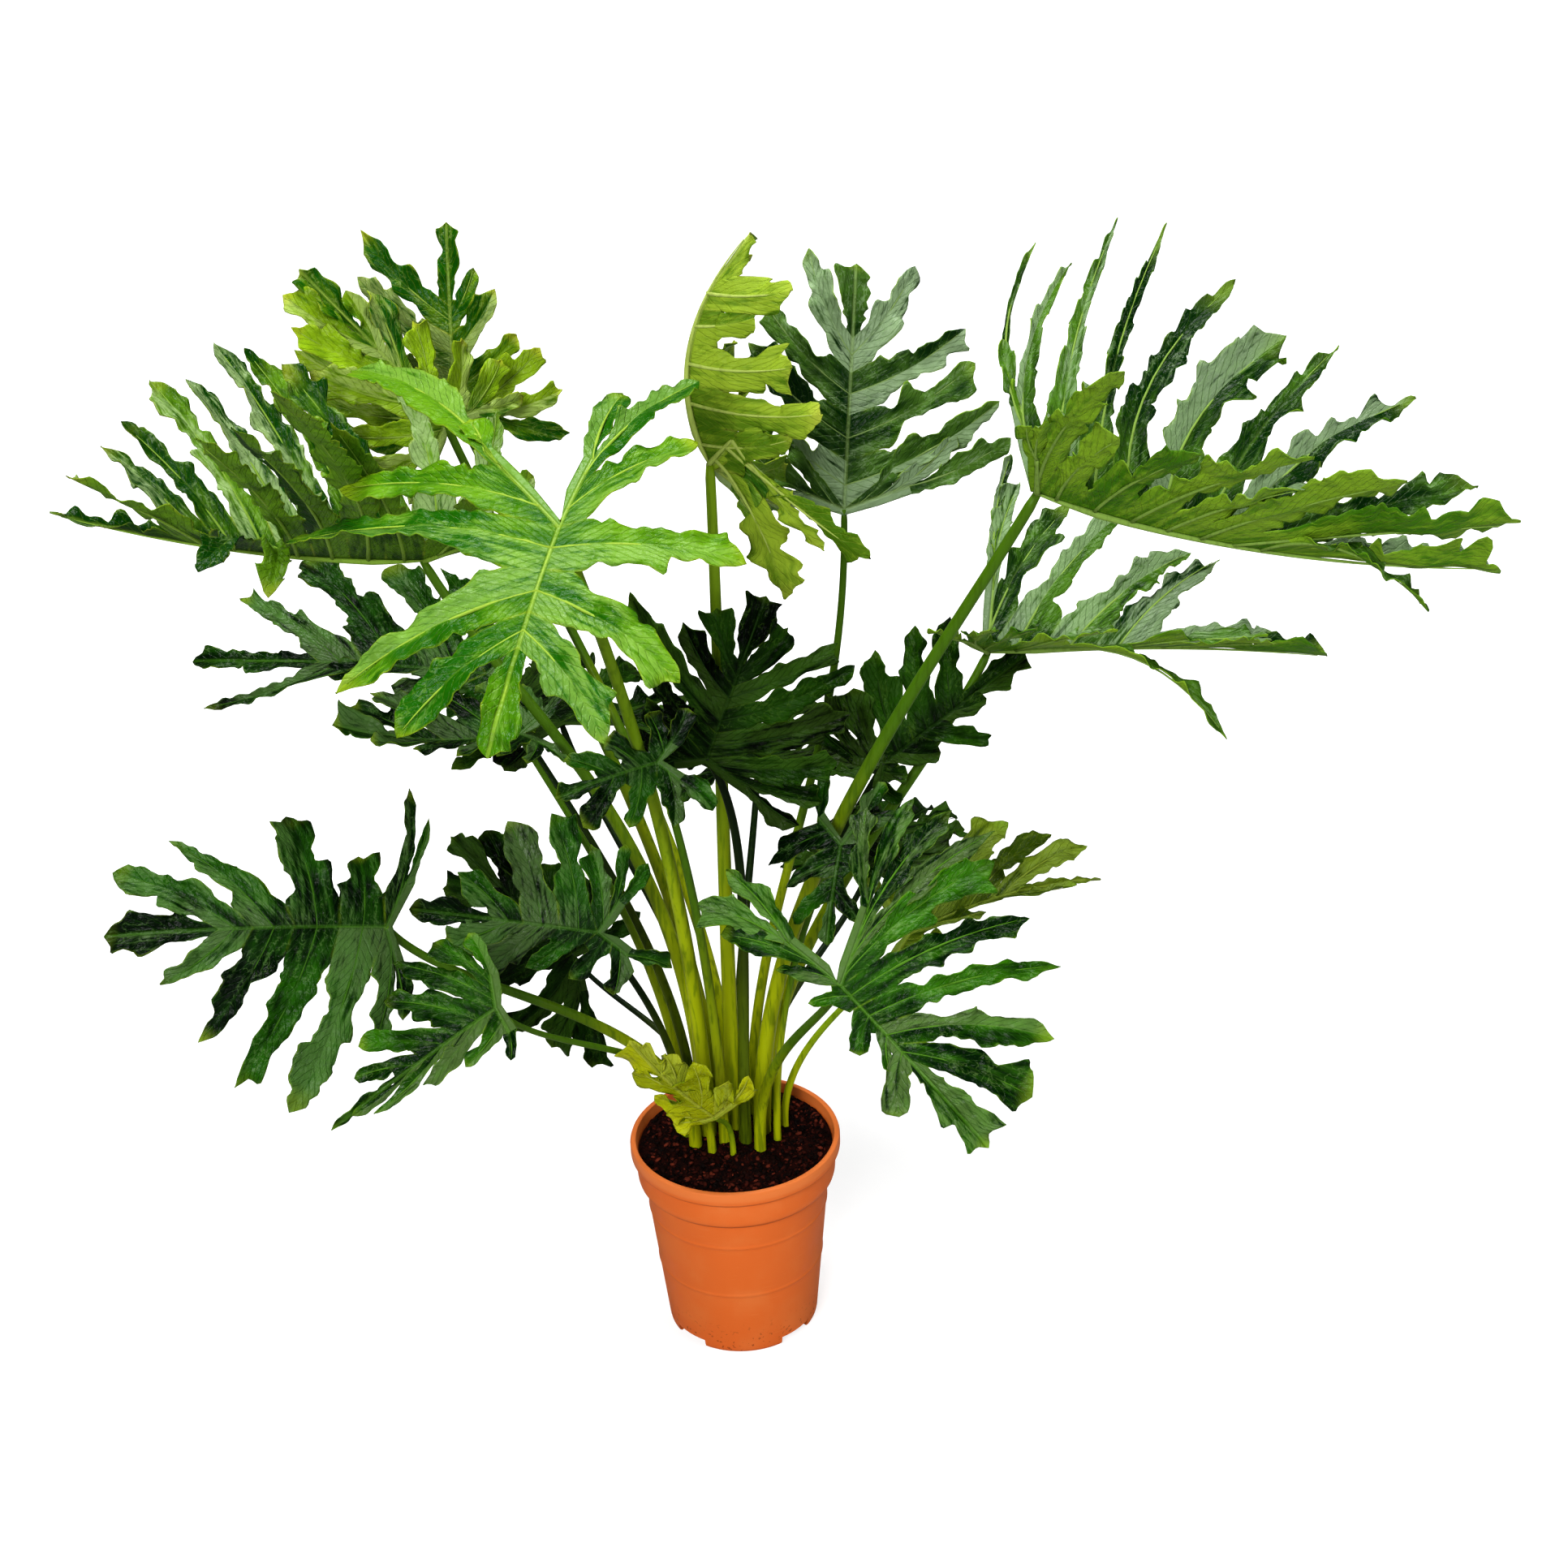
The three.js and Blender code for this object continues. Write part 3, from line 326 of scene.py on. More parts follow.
# %% [markdown]
# ## The pot
# The pot is a thin moulded one, turned round an axis: a rolled rim, a collar under it, a plain
# tapering wall with two faint raised lines, and a foot with shallow notches. Half of its
# section is drawn once and spun, which keeps every ring round. The drain holes and notches are
# then cut out of the shell. Smooth shading blends a small form into the faces beside it, so the
# section has close points at both sides of each raised line and edge, which keep the wall
# between them evenly lit.

# %% Pot section
POT_HEIGHT = 216
RIM_FOOT = 201
COLLAR_FOOT = 173
COLLAR_RADIUS = 99.5
FOOT_RADIUS = 76
WALL_SPREAD = 17
WALL = 2.4
FOOT_RISE = 13
RIDGE_HEIGHTS = (77, 140)
RIDGE_SHAPE = ((-7, 0), (-3.5, 0), (-2.5, 0), (-0.8, 0.7), (0.8, 0.7), (2.5, 0), (3.5, 0), (7, 0))


def body_radius(z):
    return FOOT_RADIUS + WALL_SPREAD * z / COLLAR_FOOT


def on_wall(*heights, proud=0):
    return [(body_radius(z) + proud, z) for z in heights]


ridges = [point for height in RIDGE_HEIGHTS for step, proud in RIDGE_SHAPE
          for point in on_wall(height + step, proud=proud)]
underside = [(0, 0), (38, 0), (42, FOOT_RISE), (68, FOOT_RISE), (68, 0), (73.6, 0), (76, 2.6)]
collar = [(93, 170), (96.5, 171), (98.4, 173), (99.2, 176), (99.5, 179),
          *((COLLAR_RADIUS, z) for z in (180.5, 184, 196, 199.5))]
rim = [(COLLAR_RADIUS, RIM_FOOT), (103.5, RIM_FOOT), (104.7, 202.2), (105, 204), (105, 212.5),
       (104.2, 215), (102.5, POT_HEIGHT), (100.4, POT_HEIGHT), (99.3, 215.2), (98.9, 213.5)]
inside = [(COLLAR_RADIUS - WALL, RIM_FOOT), *on_wall(165, FOOT_RISE + WALL, proud=-WALL),
          (41, FOOT_RISE + WALL), (37, WALL), (0, WALL)]
pot_section = [*underside, *on_wall(5, 9), *ridges, *on_wall(163, 166, 167), *collar, *rim,
               *inside]
print("points in the pot's section:", len(pot_section))

# %% Pot shape
POT_STEPS = 128
DRAIN_HOLES, DRAIN_RING, DRAIN_RADIUS = 6, 54, 5
FOOT_NOTCHES = 4
NOTCH_SIZE = (24, 38, 20)


def spin_section(section, steps):
    bm = bmesh.new()
    verts = [bm.verts.new((radius, 0, z)) for radius, z in section]
    edges = [bm.edges.new(pair) for pair in zip(verts, verts[1:])]
    bmesh.ops.spin(bm, geom=verts + edges, cent=(0, 0, 0), axis=(0, 0, 1), dvec=(0, 0, 0),
                   angle=2 * math.pi, steps=steps, use_merge=True, use_duplicate=False)
    bmesh.ops.remove_doubles(bm, verts=bm.verts, dist=0.001)
    bmesh.ops.recalc_face_normals(bm, faces=bm.faces)
    return bm


def cut_away(bm, cutters):
    """Takes one bmesh out of another with the Boolean modifier and returns the rest."""
    whole, tool = new_object("whole", bm, []), new_object("cutters", cutters, [])
    boolean = whole.modifiers.new("cut", "BOOLEAN")
    boolean.object = tool
    boolean.operation = "DIFFERENCE"
    boolean.solver = "EXACT"
    rest = after_modifiers(whole)
    bpy.data.objects.remove(tool)
    return rest


def turned_to(degrees, place):
    return Matrix.Rotation(math.radians(degrees), 4, "Z") @ Matrix.Translation(place)


pot_cutters = bmesh.new()
for i in range(DRAIN_HOLES):
    bmesh.ops.create_cone(pot_cutters, cap_ends=True, segments=24, radius1=DRAIN_RADIUS,
                          radius2=DRAIN_RADIUS, depth=30,
                          matrix=turned_to(360 / DRAIN_HOLES * i, (DRAIN_RING, 0, 5)))
for i in range(FOOT_NOTCHES):
    at_foot = turned_to(360 / FOOT_NOTCHES * i + 45, (FOOT_RADIUS, 0, 0))
    bmesh.ops.create_cube(pot_cutters, size=1, matrix=at_foot @ Matrix.Diagonal((*NOTCH_SIZE, 1)))
pot_bm = cut_away(spin_section(pot_section, POT_STEPS), pot_cutters)
print("pot faces:", len(pot_bm.faces))

# %% [markdown]
# ## The pot's finish
# The plastic is terracotta orange, a little uneven, with a soft gloss. A shop pot is dusty:
# pale dust lies in cloudy patches, fine scuffs run round the wall and soil is splashed near the
# foot. The lip of the rim is painted paler, as a highlight where it catches the light. Dark
# lines are painted in the two corners under the rim and the collar, and faintly along the two
# raised lines, as shade in these grooves, partly grime. Each effect is a mask made from noise
# and from the height on the pot, so it stays where it is from every side.

# %% Pot finish
POT_ORANGE = colour(227, 115, 49)
POT_PALE = colour(233, 140, 78)
# Dark brown for the soil splashes and for the painted shade in the grooves.
POT_DIRT_AND_SHADE = colour(120, 48, 18)
# A painted highlight: the rim's lip is made paler where it catches the light.
RIM_HIGHLIGHT = (0.2035, 0.2085)
SPLASH_TOP = 0.05
GRIME_AND_SHADE_MOST = 0.55
# Dark lines painted as shade, partly grime, in the corners under the rim and the collar, and
# faintly along the raised lines.
GRIME_AND_SHADE_LINES = ((0.2004, 0.0036, 0.58), (0.1712, 0.0034, 0.54),
               (0.0772, 0.0016, 0.09), (0.1402, 0.0014, 0.08))

pot_plastic = Pattern("pot_plastic", ["Body", "Dust and highlight", "Dirt and shade"])
height = pot_plastic.parts(pot_plastic.place)[2]
clouds = pot_plastic.noise(22.0, 4.0)
specks = pot_plastic.noise(260.0, 3.0)
scuffs = pot_plastic.noise(40.0, 5.0, pot_plastic.stretched((1.0, 1.0, 14.0)))
# Real dust and scuffs, plus the painted highlight on the rim's lip.
dust_and_highlight = (clouds.ramp(0.42, 0.75) * 0.4).larger(height.ramp(*RIM_HIGHLIGHT) * 0.55)
dust_and_highlight = dust_and_highlight.larger(scuffs.ramp(0.6, 0.75) * 0.3)
splash = height.ramp(SPLASH_TOP, 0.0) * specks.ramp(0.6, 0.68)
# Painted shade in the grooves, partly grime.
lines = [abs(height - corner).ramp(reach, 0.0005, 0.0, most)
         for corner, reach, most in GRIME_AND_SHADE_LINES]
grime_and_shade = reduce(Signal.larger, lines).smaller(GRIME_AND_SHADE_MOST)
body = dust_and_highlight.mix(pot_plastic.value("Body"), pot_plastic.value("Dust and highlight"))
body = (splash * 0.7).mix(body, pot_plastic.value("Dirt and shade"))
pot_plastic.finish(grime_and_shade.mix(body, pot_plastic.value("Dirt and shade")), scuffs + specks, clouds)

pot_finish = new_material("pot_finish", pot_plastic,
                          {"Body": POT_ORANGE, "Dust and highlight": POT_PALE, "Dirt and shade": POT_DIRT_AND_SHADE},
                          roughness=0.5, bump=0.12, depth=0.0004, specular=0.25)
pot = finish_piece("pot_shell", pot_bm, [pot_finish], ["pot"])
pot.data.set_sharp_from_angle(angle=math.radians(35))
print("pot done")

# %% [markdown]
# ## Every leaf in one table
# Each leaf has a stalk root on the soil, the junction where stalk and blade meet and the blade's
# tip, all in millimetres, and a direction that its upper face looks in. Its tone tells its age
# and how much light reaches it: dark leaves stand in the shade of the others, and their stalks
# are painted dark as shade. Its look is a row in the table of leaf colours further down. Arch is
# how high the midrib rises, width is half the breadth of its lobes, stem is the thickness of its
# stalk beside the others, and laterals is how many lobes spring from the midrib.
# The first pair of each half of a blade is the length and turn of its hind vein. Its lobes
# follow, from the hindmost on: length, turn, how far it is raised, how broad it is for the leaf,
# and how much it bends. Turns are degrees away from the midrib's tip. A row ends with what is
# special about its leaf, and the defaults give what it leaves out.

# %% The leaf table
LEAF_DEFAULTS = dict(fold=0, droop=0, cut=0.21, last=0.56, end=1.1, arching=0.6, rise=0.35,
                     reach=0.25, calm=1.0, lacy=False)
LOBE_DEFAULTS = (0, 1, 12)

LEAF_COLUMNS = ("name", "tone", "look", "root", "junction", "tip", "face", "arch", "width", "stem",
                "laterals", "right", "left")
LEAF_ROWS = [
    ("front", "bright", "lime", (-26.7, -13.6), (-105, -210, 933), (-156, -370, 812),
     (-0.1, -0.75, 0.65), 8, 14, 1.1, 3,
     [(110, 130), (45, 145), (255, 127), (180, 94), (230, 89), (170, 52), (125, 36)],
     [(75, 175), (85, 180), (150, 158), (125, 140), (150, 100), (135, 67), (115, 46)],
     dict(droop=10, cut=0.17, calm=0.5)),
    ("far_left", "middle", "fresh", (-29.3, 6.2), (-255, 45, 818), (-562, -15, 895),
     (0.05, -0.1, 1), -12, 8.5, 1.1, 7,
     [(70, 135), (60, 140), (115, 100), (175, 75), (218, 56, 0, 1.1), (228, 57), (226, 58, 0, 1.15),
      (189, 54), (183, 52), (145, 43, 0, 0.9), (120, 36)],
     [(75, 125), (70, 140), (100, 108), (150, 92), (258, 69, 28, 1.1), (366, 73, 0, 1.2),
      (291, 69, 0, 1.1), (255, 67), (138, 91, -95, 1.1), (133, 77, -75, 1.1), (155, 40, 0, 1.1)],
     dict(fold=45, last=0.62, end=0.9, rise=0.5)),
    ("upper_left_back", "middle", "sunny", (-1, 30), (-244, 265, 891), (-240, 305, 1064),
     (0, -0.9, 0.3), 5, 8, 0.9, 3,
     [(35, 100), (78, 104), (82, 74), (97, 52), (82, 50), (75, 36), (55, 26)],
     [(35, 110), (62, 112), (105, 80), (160, 67), (143, 60), (115, 50), (120, 44)],
     dict(droop=5, lacy=True)),
    ("upper_left_front", "middle", "sunny", (-19.3, 23), (-245, 200, 899), (-363, 190, 1050),
     (0.3, -0.8, 0.5), 5, 10, 1, 3,
     [(35, 115), (52, 120), (62, 80), (76, 53), (80, 34), (84, 23), (60, 16)],
     [(35, 110), (52, 108), (90, 68), (118, 47), (120, 31), (112, 23), (98, 16)],
     dict(droop=5, lacy=True)),
    ("top", "bright", "pale", (0, 0), (9, 40, 898), (52, 30, 1103), (0.95, 0.3, 0), -36, 13, 1.15,
     5,
     [(35, 130), (70, 145, 0, 0.7), (110, 118, 0, 0.8), (115, 100, 0, 0.8), (90, 68), (80, 56),
      (60, 46), (50, 40, 0, 0.8), (45, 48, 0, 0.8)],
     [(47, 47), (106, 143, 0, 0.7), (138, 121, 0, 1.1), (130, 160, 0, 1.4, -16), (98, 72, 0, 1.1),
      (124, 79, 0, 1.1), (94, 77, 0, 1.1), (50, 67, 0, 1.2), (69, 73, 0, 0.9)],
     dict(fold=52, cut=0.34, last=0.8, end=0.9, arching=0)),
    ("upper_right", "middle", "misty", (18.5, 23.6), (129, 150, 814), (148, 220, 1029),
     (0, -0.9, 0.3), 5, 9.5, 0.8, 4,
     [(65, 68), (105, 62, 0, 0.9), (82, 44, 0, 0.8), (82, 36, 0, 0.8), (164, 59),
      (138, 57, 0, 0.95), (123, 58), (101, 33)],
     [(40, 70), (38, 80, 0, 1.1), (68, 58, 0, 1.1), (98, 30, 0, 0.9), (103, 49, 0, 0.9),
      (128, 49, 0, 1.1), (116, 46, 0, 1.15), (106, 25, 0, 0.95)],
     dict(last=0.7, end=1.5, arching=0, reach=0.4)),
    ("far_right", "middle", "silver", (27.2, -12.7), (286, -60, 895), (677, -90, 822),
     (0.1, -0.1, 1), -18, 12, 1.2, 7,
     [(60, 100), (50, 110, 0, 0.8), (80, 95, 0, 0.9), (216, 82, 0, 0.9), (130, 78), (155, 67),
      (207, 58, 0, 2.2), (147, 54, 0, 1.4), (199, 50, 0, 2), (228, 23, 0, 1.6),
      (185, 46, -100, 0.7)],
     [(75, 110), (55, 115, 0, 0.6), (162, 95, 0, 0.22, 30), (188, 88, 0, 0.5, 28),
      (259, 86, 0, 0.45), (265, 84, 0, 0.4), (238, 75, 0, 1, 32), (204, 67, 0, 1.3, 32),
      (212, 63, 0, 0.8), (204, 47, 0, 1, 24), (189, 22, 0, 0.9)],
     dict(fold=50, last=0.52, end=1.8)),
    ("right", "middle", "silver", (29.3, 6.2), (262, 112, 679), (593, 132, 652), (0, -0.1, 1), 8,
     9.5, 1.05, 4,
     [(90, 110), (90, 120), (100, 92), (130, 80), (140, 60), (173, 33, -110, 0.8, -8),
      (150, 38, 0, 1.2), (110, 24, 0, 1.3)],
     [(90, 82), (130, 79, 0, 0.5), (120, 74, 0, 0.8), (160, 57, 0, 0.9), (180, 52, 0, 0.9),
      (168, 39), (149, 42, 0, 1.05), (117, 7, 0, 1.2)],
     dict(fold=35, end=1.9)),
    ("right_inner", "dark", "shade", (38.3, 32.1), (159, 70, 585), (299, 120, 671), (0, -0.9, 0.4),
     5, 10, 0.7, 3,
     [(30, 135), (40, 165), (24, 70), (24, 45), (40, 38), (61, 43, 0, 0.7), (34, 17)],
     [(30, 130), (55, 100), (70, 82), (73, 70), (100, 66), (100, 60), (90, 54)],
     dict(lacy=True)),
    ("centre", "dark", "shade", (10.3, -28.2), (-7, -20, 640), (53, 20, 780), (0, -0.9, 0.3), 5, 10,
     0.9, 4,
     [(45, 105), (60, 108), (80, 85), (110, 68), (130, 56), (132, 47), (110, 43), (65, 26)],
     [(30, 115), (42, 118), (56, 78), (73, 60), (90, 58), (142, 55), (80, 51), (65, 36)],
     dict()),
    ("centre_left", "middle", "deep", (-10.3, -28.2), (-47, -110, 680), (-133, -150, 668),
     (-0.1, -0.7, 0.7), 5, 10, 0.8, 2,
     [(25, 145), (40, 138), (40, 95), (40, 58), (45, 44)],
     [(25, 118), (40, 112), (55, 70), (60, 55), (55, 38)],
     dict(lacy=True)),
    ("left", "dark", "deep", (-42.4, 26.5), (-223, 150, 660), (-517, 190, 668), (0, -0.6, 0.8), 10,
     9.5, 0.85, 3,
     [(45, 125), (65, 92), (95, 67), (130, 57), (145, 54, 0, 1.3), (168, 46, 0, 1.4), (140, 31)],
     [(40, 140), (42, 126), (50, 80), (60, 52), (66, 34), (68, 7, 0, 0.7), (141, 22, 0, 0.4)],
     dict(droop=10)),
    ("left_low", "middle", "deep", (-49.5, 7), (-184, 45, 642), (-352, 25, 667), (0, -0.25, 1), -12,
     8, 0.7, 3,
     [(35, 135), (38, 118), (48, 72), (80, 54), (104, 45), (101, 31), (78, 21)],
     [(35, 130), (35, 120), (38, 74), (43, 52), (50, 38), (50, 27), (56, 18)],
     dict(fold=15, droop=10, lacy=True)),
    ("lower_left", "middle", "deep", (-39.4, -30.8), (-295, -130, 539), (-528, -180, 568),
     (0, -0.7, 0.7), 10, 9.5, 0.9, 4,
     [(45, 115), (69, 111, 0, 0.42), (116, 99, 0, 0.45), (66, 89, 0, 2), (107, 77, 0, 1.3),
      (122, 44, 0, 0.75), (118, 29, 0, 1.3)],
     [(35, 102), (50, 95, 0, 0.9), (87, 79, 0, 0.9), (174, 67, 0, 1.05), (156, 62, 0, 1.1),
      (118, 56), (79, 36, 0, 0.85)],
     dict(droop=10, last=0.6, end=1.5)),
    ("low_left", "middle", "green", (-22.7, -44.6), (-193, -215, 502), (-335, -270, 421),
     (-0.1, -0.7, 0.7), 5, 7.5, 0.6, 3,
     [(30, 114), (45, 97), (66, 72), (98, 57), (86, 49), (76, 36), (55, 26)],
     [(25, 85), (24, 60, 0, 0.9), (50, 17, 0, 0.8), (71, 15, 0, 0.8), (83, 9, 0, 0.6),
      (68, 2, 0, 0.5)],
     dict(droop=5, end=0.55, lacy=True)),
    ("back_left", "dark", "shade", (-32.5, 38), (-164, 150, 342), (-289, 230, 443),
     (-0.2, -0.8, 0.5), 5, 12, 0.6, 3,
     [(40, 105), (43, 107), (54, 71), (77, 48), (82, 36), (77, 29), (75, 24)],
     [(40, 145), (80, 140), (75, 109), (100, 90), (85, 75), (75, 56), (75, 37)],
     dict(droop=5)),
    ("middle_left", "dark", "deep", (-48.3, -12.9), (-114, -70, 491), (-280, -90, 534),
     (0, -0.8, 0.5), 5, 10, 0.7, 3,
     [(35, 117), (45, 122), (60, 93), (74, 74), (110, 70), (100, 65), (64, 37)],
     [(35, 150), (45, 172), (42, 90), (50, 54), (60, 42), (65, 40), (61, 26)],
     dict(droop=5, lacy=True)),
    ("lower_right", "middle", "green", (25, -43.3), (106, -160, 478), (229, -250, 362),
     (0.05, -0.8, 0.6), 5, 10, 0.85, 4,
     [(60, 172), (90, 183, 0, 1.1), (101, 159, 0, 1.1), (89, 151, 0, 0.9), (51, 142, 0, 0.7),
      (38, 123, 0, 0.8), (36, 57, 0, 1.1), (32, 38, 0, 0.6), (57, 45, 0, 1.2)],
     [(75, 118), (97, 138), (123, 116, 0, 1.1), (149, 102, 0, 1.1), (178, 90, 0, 1.2), (174, 86),
      (177, 72, 0, 0.9), (178, 63, 0, 0.7), (149, 47, 0, 1, 16), (121, 29, 0, 1.2)],
     dict(droop=5, last=0.46, end=1.25, lacy=True)),
    ("low_right_back", "bright", "olive", (49.9, -3.5), (177, 0, 436), (365, 40, 466), (0, -0.4, 1),
     18, 9, 0.6, 3,
     [(30, 130), (28, 124, 0, 0.6), (30, 70, 0, 0.6), (36, 30, 0, 0.6), (55, 16, 0, 0.6),
      (60, -6, 0, 0.5), (74, 7, 0, 0.5)],
     [(45, 102), (30, 120, 0, 0.8), (45, 50, 0, 0.8), (74, 31, 0, 0.8), (126, 34, 0, 1.15),
      (114, 26, 0, 0.9), (107, 20, 0, 0.7)],
     dict(fold=20, end=0.45, lacy=True)),
    ("low_right", "middle", "deep", (42.4, -26.5), (112, -50, 561), (96, -95, 482),
     (-0.3, -0.8, 0.3), 5, 8, 0.55, 2,
     [(35, 130), (40, 175), (67, 56), (56, 57), (50, 42)],
     [(35, 150), (35, 160), (45, 115), (40, 76), (40, 44)],
     dict(droop=5, lacy=True)),
    ("young", "bright", "young", (-1.7, -50), (-17, -78, 288), (-89, -116, 399), (-0.3, -0.8, 0.2),
     5, 15, 0.5, 2,
     [(30, 70), (40, 56), (50, 40), (70, 28), (50, 22)],
     [(15, 80), (25, 65), (40, 38), (50, 26), (50, 18)],
     dict(droop=5, cut=0.34, end=0.9)),
    ("back_middle", "dark", "shade", (3.5, 49.9), (36, 265, 500), (-5, 470, 470), (0, 0.3, 1), 10,
     12, 0.8, 3,
     [(60, 125), (70, 130), (110, 108), (135, 88), (140, 66), (130, 52), (110, 36)],
     [(60, 125), (75, 132), (115, 106), (130, 86), (145, 64), (125, 50), (115, 35)],
     dict(fold=10, droop=10)),
    ("back_right", "dark", "shade", (23.5, 44.1), (150, 215, 400), (225, 390, 375), (0.2, 0.2, 1),
     10, 12, 0.75, 3,
     [(55, 125), (60, 130), (85, 108), (105, 86), (95, 66), (85, 52), (75, 36)],
     [(55, 125), (45, 132), (60, 106), (70, 88), (75, 64), (75, 50), (70, 35)],
     dict(fold=10, droop=10)),
    ("back_high", "dark", "shade", (-15.5, 47.6), (-165, 250, 560), (-265, 430, 545),
     (-0.1, 0.3, 1), 10, 12, 0.85, 3,
     [(60, 125), (75, 130), (110, 108), (135, 88), (140, 66), (130, 52), (110, 36)],
     [(60, 125), (70, 132), (115, 106), (140, 86), (135, 64), (125, 50), (115, 35)],
     dict(fold=10, droop=10)),
]
LEAVES = [LEAF_DEFAULTS | dict(zip(LEAF_COLUMNS, row)) | row[-1] for row in LEAF_ROWS]
print("leaves:", len(LEAVES))

# %% [markdown]
# ## The plan of a blade
# A blade is flat in plan: a midrib, two hind veins and lobes that spring from them as bent
# straps. Placing the plan in space bends, folds and droops it. Keeping plan and place apart
# makes both simple: the plan says how lobes are cut, and the place says how the leaf is held.

# %% Draws and easing
def draw(number):
    """A repeatable draw between 0 and 1."""
    swing = math.sin(number * 12.9898) * 43758.5453
    return swing - math.floor(swing)


def heading(degrees):
    angle = math.radians(degrees)
    return Vector((math.cos(angle), math.sin(angle)))


def smooth(value, start=0.0, end=1.0):
    share = min(max((value - start) / (end - start), 0.0), 1.0)
    return share * share * (3 - 2 * share)


print("a draw:", round(draw(1), 3), "and a quarter of the way, eased:", smooth(0.25))


# %% Blade place
class LeafForm:
    """Where a leaf's midrib lies and which way its face looks."""

    def __init__(self, leaf):
        self.leaf = leaf
        self.length = math.dist(leaf["junction"], leaf["tip"])
        self.junction = Vector(leaf["junction"])
        self.along = (Vector(leaf["tip"]) - self.junction).normalized()
        face = Vector(leaf["face"])
        self.face = (face - self.along * face.dot(self.along)).normalized()
        self.side = self.along.cross(self.face)

    def place(self, u, v, hand, lift=0.0):
        """The point in space of u along the midrib and v to the side."""
        leaf = self.leaf
        t = u / self.length
        rise = 4 * leaf["arch"] * t * (1 - t) if t > 0 else 2 * leaf["arch"] * t
        away = (v * v + min(u, 0) ** 2) / (0.5 * self.length) ** 2
        tilt = math.radians(leaf["fold"])
        height = v * math.sin(tilt) + rise - leaf["droop"] * away + lift
        return (self.junction + self.along * u + self.side * (hand * v * math.cos(tilt))
                + self.face * height)


print("first leaf:", round(LeafForm(LEAVES[0]).length), "mm long")

# %% Blade plan
NEIGHBOUR_ROOM = 0.42
SPINE_EASE = 1.15
BREADTH_PER_LENGTH = 0.02
BREADTH_LEAST, BREADTH_SPREAD = 0.8, 0.45
FARTHEST_MAPPED = 99.0


class HalfBlade:
    """The spine and lobes of one half of a blade, in the plan."""

    def __init__(self, form, hand):
        leaf = form.leaf
        self.form, self.hand, self.cut = form, hand, leaf["cut"]
        (hind_length, self.hind_turn), *rows = leaf["right"] if hand > 0 else leaf["left"]
        laterals = leaf["laterals"]
        hind = heading(self.hind_turn) * hind_length
        self.hind_steps = len(rows) - 1 - laterals
        self.spine = [hind * (i / self.hind_steps) for i in range(self.hind_steps, 0, -1)]
        for i in range(laterals + 1):
            share = leaf["last"] * (1 - (1 - i / laterals) ** SPINE_EASE)
            self.spine.append(Vector((share * form.length, 0)))
        self.lobes = []
        for i, row in enumerate(rows):
            base = self.spine[0] if i == 0 else (self.spine[i - 1] + self.spine[i]) / 2
            self.add_lobe(base, *row, *LOBE_DEFAULTS[len(row) - 2:])
        end = self.spine[-1]
        self.add_lobe(end, form.length - end.x, 0, 0, leaf["end"], 0)
        self.cuts = [(self.centre(one, self.cut) + self.centre(two, self.cut)) / 2
                     for one, two in zip(self.lobes, self.lobes[1:])]

    def add_lobe(self, base, reach, turned, lift, breadth, bend):
        middle = base + heading(turned + bend) * (0.5 * reach)
        full = (self.form.leaf["width"] + BREADTH_PER_LENGTH * reach) * breadth
        self.lobes.append({"base": base.copy(), "middle": middle, "reach": reach, "lift": lift,
                           "tip": base + heading(turned) * reach, "breadth": breadth,
                           "full": full, "index": len(self.lobes)})

    def centre(self, lobe, t):
        s = 1 - t
        return lobe["base"] * (s * s) + lobe["middle"] * (2 * s * t) + lobe["tip"] * (t * t)

    def margin(self, lobe, t, edge, fullness):
        """How far a margin stands from the lobe's rib, as an offset in the plan."""
        centre = self.centre(lobe, t)
        ahead = self.centre(lobe, min(t + 0.02, 1)) - self.centre(lobe, t - 0.02)
        across = Vector((-ahead.y, ahead.x)).normalized() * -edge
        index = lobe["index"] + edge
        room = math.inf
        if 0 <= index < len(self.lobes):
            room = NEIGHBOUR_ROOM * (self.centre(self.lobes[index], t) - centre).length
        seed = self.form.length + 17 * lobe["index"] + 5 * self.hand + edge
        breadth = lobe["full"] * (BREADTH_LEAST + BREADTH_SPREAD * draw(seed + t))
        return across * (min(breadth, room) * fullness)

    def from_spine(self, plan):
        """How far a point of the plan is from the midrib or the hind vein."""
        junction = Vector((0, 0))
        nearest = FARTHEST_MAPPED
        for start, end in ((self.spine[0], junction), (junction, Vector((self.form.length, 0)))):
            run = end - start
            share = min(max((plan - start).dot(run) / run.dot(run), 0), 1)
            nearest = min(nearest, (plan - start - run * share).length)
        return nearest


lobe_counts = [len(HalfBlade(LeafForm(leaf), 1).lobes) for leaf in LEAVES]
print("lobes in a right half: from", min(lobe_counts), "to", max(lobe_counts))

# %% [markdown]
# ## The fine form of a lobe
# Each lobe is a grid of small squares, moved row by row onto its curve. Between the rows of the
# plain model its margin is eased into smooth waves, small teeth and side lobes, its two halves
# rise a little from the rib, and its edge is ruffled, which is what makes this leaf look lacy.
# The nearest leaf lies calmer than the others, and some lower and inner ones are lacier. The
# rows of neighbouring lobes meet in the same points on the midrib, so that merging doubles
# joins them.
# Three texture maps are kept on the way: one in millimetres across and along each rib for the
# veins, one that runs from rib to margin and from base to tip for the colouring, and one that
# measures how far a point is from the midrib or a hind vein and gives each lobe its own tone.

# %% A grid on a curve
ACROSS = [0.0, 0.1, 0.34, 0.6, 0.82, 1.0]
SIDE_COLUMNS = len(ACROSS) - 1


def column_share(column):
    """From -1 on one margin through 0 on the rib to 1 on the other."""
    step = column - SIDE_COLUMNS
    return math.copysign(ACROSS[abs(step)], step)


